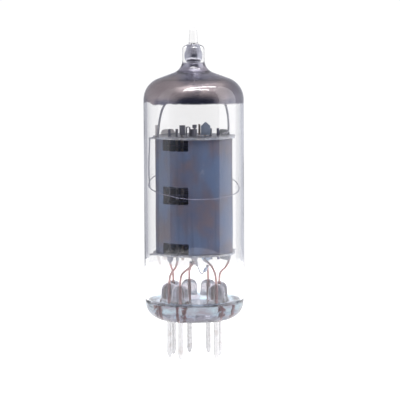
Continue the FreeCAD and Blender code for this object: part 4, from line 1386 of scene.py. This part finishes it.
def build_getter():
    """The open channel ring under the dome and the two bent wires that carry it."""
    low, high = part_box("getter_ring")
    outer = high.x
    inner = outer - 0.9 * MM
    wall = 0.15 * MM
    corner = 0.25 * MM
    outline = rounded_outline([
        (inner, high.z),
        (inner, low.z, corner),
        (outer, low.z, corner),
        (outer, high.z),
        (outer - wall, high.z),
        (outer - wall, low.z + wall, 0.12 * MM),
        (inner + wall, low.z + wall, 0.12 * MM),
        (inner + wall, high.z),
        (inner, high.z),
    ], 5)
    ring = as_object("getter_channel", outward(lathe(outline, 96)))
    bevel(ring, 0.03 * MM)
    finished(settled(ring), nickel_finish(), ["getter_ring"], 50)
    radius = 0.2 * MM
    level = (low.z + high.z) / 2
    left = low_of("getter_leg_left")
    end = Vector((left.x + radius, left.y + radius, left.z))
    low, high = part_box("getter_leg_right")
    ankle = Vector((high.x - radius, 0, low.z + 1.3 * MM))
    heel = ankle - Vector((0.15 * MM, 0, 0.9 * MM))
    toe = Vector((ankle.x - 1.3 * MM, 0, CAGE_TOP + radius))
    legs = {"left": (-inner, end, []), "right": (outer, ankle, [heel, toe])}
    for side, (across, knee, foot) in legs.items():
        start = Vector((across, 0, level))
        bends = [between(start, knee, *shares) for shares in ((0.6, 0.24), (0.92, 0.6))]
        wire = wire_object("getter_leg_" + side + "_wire", [start, *bends, knee, *foot], radius)
        finished(wire, nickel_finish(), ["getter_leg_" + side], 60)


def build_hoop():
    """A fine wire hoop tilted forwards round the plate, and the wire that it hangs by."""
    wire = 0.08 * MM
    low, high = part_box("hoop_ring")
    radius = (high.x - low.x) / 2 - wire
    level = (low.z + high.z) / 2
    tilt = math.asin((high.z - low.z - 2 * wire) / 2 / radius)
    ring = []
    for k in range(24):
        spin = 2 * math.pi * k / 24
        wobble = ripple(spin, 2, 5.0)
        spot = Matrix.Rotation(tilt, 3, "X") @ polar(radius - abs(wobble) * 0.08 * MM, spin, 0)
        ring.append(spot + Vector((0, 0, level + wobble * 0.15 * MM)))
    hoop = wire_object("hoop_wire", ring, wire, 4, 4, True)
    finished(hoop, dark_rod_finish(), ["hoop_ring"], 70)
    low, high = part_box("hoop_hanger")
    spot = (low + high) / 2
    bulge = Vector((-0.18 * MM, 0.05 * MM, 0))
    heights = ((high.z, 0.0), (high.z - 2 * MM, 0.3), (low.z + 3 * MM, 1.0), (low.z, 0.0))
    route = [Vector((spot.x, spot.y, height)) + bulge * share for height, share in heights]
    hanger = wire_object("hoop_hanger_wire", route, 0.09 * MM, 3, 4)
    finished(hanger, nickel_finish(), ["hoop_hanger"], 70)


def dress_frame_nodes():
    """The nodes that are shown as they are get their finishes."""
    for node, material in (
        ("heater", oxide_finish()),
        ("folded_strap", nickel_finish()),
        ("heater_link", nickel_finish()),
        ("heater_bead", carbon_finish()),
    ):
        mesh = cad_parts[node].data
        mesh.materials.clear()
        mesh.materials.append(material)


def build_camera():
    """A long lens, nearly level, a little to the left of the tube's front."""
    studio = bpy.context.scene.studio_settings
    azimuth = studio.azimuth
    back = Vector((math.sin(azimuth), -math.cos(azimuth), 0))
    right = Vector((math.cos(azimuth), math.sin(azimuth), 0))
    data = bpy.data.cameras.new("Camera")
    data.lens = studio.lens
    data.sensor_width = 36.0
    data.clip_start = 0.01
    data.clip_end = 10.0
    camera = linked("Camera", data)
    camera.location = back * studio.distance + right * studio.offset + Vector((0, 0, studio.height))
    forward = -back * math.cos(studio.pitch) - Vector((0, 0, math.sin(studio.pitch)))
    aim = forward.to_track_quat("-Z", "Y").to_matrix().to_4x4()
    camera.rotation_euler = (aim @ Matrix.Rotation(studio.roll, 4, "Z")).to_euler()
    bpy.context.scene.camera = camera


# Where each softbox stands, its width and height, all in metres, and its power in watts.
SOFTBOXES = {
    "right_softbox": ((0.34, -0.1, 0.03), 0.34, 1.0, 1.9),
    "left_softbox": ((-0.36, -0.04, 0.03), 0.2, 1.0, 0.5),
    "top_softbox": ((-0.02, -0.22, 0.42), 0.4, 0.04, 1.0),
    "high_softbox": ((0.05, -0.14, 0.5), 0.5, 0.05, 1.1),
}


def softbox(name, spot, width, height, power):
    """A rectangular studio light aimed at the tube, seen in reflections but not by the camera."""
    data = bpy.data.lights.new(name, "AREA")
    data.shape = "RECTANGLE"
    data.size = width
    data.size_y = height
    data.energy = power
    light = linked(name, data)
    light.location = spot
    aim = Vector((0, 0, 30 * MM)) - Vector(spot)
    light.rotation_euler = aim.to_track_quat("-Z", "Y").to_euler()
    light.visible_camera = False
    light.visible_transmission = False


def build_world():
    """White behind the tube; in reflections a studio, dark in front and bright at the sides."""
    world = bpy.data.worlds.new("Studio")
    world.use_nodes = True
    bpy.context.scene.world = world
    maker = Maker(world.node_tree)
    world.node_tree.nodes.clear()
    heading = maker.node("ShaderNodeTexCoord", output="Generated")
    across, along, up = maker.split(heading)
    front = maker.band(along * -1, 0.2, 0.9)
    tall = maker.band(up, 0.0, 0.7)
    right = maker.band(across, -0.6, 0.9)
    room = maker.mix(front, (0.46, 0.47, 0.52), (0.05, 0.055, 0.075))
    room = maker.mix(right * (1 - front) * 0.6, room, (0.8, 0.82, 0.9))
    room = maker.mix(tall * 0.7, room, (0.3, 0.29, 0.32))
    mirrored = maker.node("ShaderNodeLightPath", output="Glossy Depth")
    scattered = maker.node("ShaderNodeLightPath", output="Diffuse Depth")
    seen = maker.math("MINIMUM", mirrored + scattered, 1.0)
    paper = maker.node("ShaderNodeBackground", {}, {"Color": (1.0, 1.0, 1.0), "Strength": 1.03})
    studio = maker.node("ShaderNodeBackground", {}, {"Color": room, "Strength": 1.0})
    shader = maker.node("ShaderNodeMixShader", {}, {0: seen, 1: paper, 2: studio})
    maker.node("ShaderNodeOutputWorld", {}, {"Surface": shader})


def build_stage():
    """The floor, the room's light, the softboxes and the camera."""
    floor_radius = 130 * MM
    floor = as_object("floor", lathe([Vector((0.0, 0.0)), Vector((floor_radius, 0.0))], 96))
    floor.data.materials.append(floor_finish())
    build_world()
    for name, values in SOFTBOXES.items():
        softbox(name, *values)
    build_camera()
    bpy.context.scene.view_settings.view_transform = "Standard"


# Operators


class TUBE_OT_glass(bpy.types.Operator):
    """Builds the blown bulb, pressed base and tip as one glass."""

    bl_idname = "tube.glass"
    bl_label = "Glass Envelope"

    def execute(self, context):
        build_glass()
        return {"FINISHED"}


class TUBE_OT_films(bpy.types.Operator):
    """Builds the getter mirrors in the dome and in the tip."""

    bl_idname = "tube.films"
    bl_label = "Mirror Films"

    def execute(self, context):
        build_films()
        return {"FINISHED"}


class TUBE_OT_pins(bpy.types.Operator):
    """Builds the contact pins and their wires through the glass."""

    bl_idname = "tube.pins"
    bl_label = "Contact Pins"

    def execute(self, context):
        build_pins()
        return {"FINISHED"}


class TUBE_OT_leads(bpy.types.Operator):
    """Builds the leads from the base and their beads of weld."""

    bl_idname = "tube.leads"
    bl_label = "Leads"

    def execute(self, context):
        build_leads()
        return {"FINISHED"}


class TUBE_OT_plate(bpy.types.Operator):
    """Builds the plate with its windows, lugs and seam."""

    bl_idname = "tube.plate"
    bl_label = "Plate"

    def execute(self, context):
        build_plate()
        return {"FINISHED"}


class TUBE_OT_micas(bpy.types.Operator):
    """Builds the two punched mica discs."""

    bl_idname = "tube.micas"
    bl_label = "Micas"

    def execute(self, context):
        build_mica("bottom_mica")
        build_mica("top_mica")
        return {"FINISHED"}


class TUBE_OT_grids(bpy.types.Operator):
    """Builds the three wound grids."""

    bl_idname = "tube.grids"
    bl_label = "Grids"

    def execute(self, context):
        build_grids()
        return {"FINISHED"}


class TUBE_OT_cathode(bpy.types.Operator):
    """Builds the cathode sleeve and its coating."""

    bl_idname = "tube.cathode"
    bl_label = "Cathode"

    def execute(self, context):
        build_cathode()
        return {"FINISHED"}


class TUBE_OT_strips(bpy.types.Operator):
    """Builds the fins and strips at both ends of the cage."""

    bl_idname = "tube.strips"
    bl_label = "Fins and Strips"

    def execute(self, context):
        build_strips()
        return {"FINISHED"}


class TUBE_OT_getter(bpy.types.Operator):
    """Builds the getter ring and its two legs."""

    bl_idname = "tube.getter"
    bl_label = "Getter"

    def execute(self, context):
        build_getter()
        return {"FINISHED"}


class TUBE_OT_hoop(bpy.types.Operator):
    """Builds the wire hoop round the plate and its hanger."""

    bl_idname = "tube.hoop"
    bl_label = "Hoop"

    def execute(self, context):
        build_hoop()
        return {"FINISHED"}


class TUBE_OT_heater(bpy.types.Operator):
    """Gives their finishes to the heater, its link and the folded strap."""

    bl_idname = "tube.heater"
    bl_label = "Heater and Link"

    def execute(self, context):
        dress_frame_nodes()
        return {"FINISHED"}


class TUBE_OT_stage(bpy.types.Operator):
    """Builds the floor, lights and camera."""

    bl_idname = "tube.stage"
    bl_label = "Stage"

    def execute(self, context):
        build_stage()
        return {"FINISHED"}


STEPS = (
    TUBE_OT_glass,
    TUBE_OT_films,
    TUBE_OT_pins,
    TUBE_OT_leads,
    TUBE_OT_plate,
    TUBE_OT_micas,
    TUBE_OT_grids,
    TUBE_OT_cathode,
    TUBE_OT_strips,
    TUBE_OT_getter,
    TUBE_OT_hoop,
    TUBE_OT_heater,
    TUBE_OT_stage,
)


class TUBE_PT_panel(bpy.types.Panel):
    """Lists the steps of building the tube."""

    bl_label = "Vacuum Tube"
    bl_idname = "TUBE_PT_panel"
    bl_space_type = "VIEW_3D"
    bl_region_type = "UI"
    bl_category = "Vacuum Tube"

    def draw(self, context):
        for made in STEPS:
            self.layout.operator(made.bl_idname)
        for group in (sizes(), colours(), context.scene.studio_settings):
            box = self.layout.box()
            for key in group.bl_rna.properties.keys():
                if key not in ("rna_type", "name"):
                    box.prop(group, key)


CLASSES = (TubeSizes, TubeColours, StudioSettings, *STEPS, TUBE_PT_panel)


def register():
    for made in CLASSES:
        bpy.utils.register_class(made)
    bpy.types.Scene.tube_sizes = bpy.props.PointerProperty(type=TubeSizes)
    bpy.types.Scene.tube_colours = bpy.props.PointerProperty(type=TubeColours)
    bpy.types.Scene.studio_settings = bpy.props.PointerProperty(type=StudioSettings)


def unregister():
    for key in ("tube_sizes", "tube_colours", "studio_settings"):
        delattr(bpy.types.Scene, key)
    for made in reversed(CLASSES):
        bpy.utils.unregister_class(made)


def main():
    register()
    for made in STEPS:
        group, name = made.bl_idname.split(".")
        getattr(getattr(bpy.ops, group), name)()


if __name__ == "__main__":
    main()
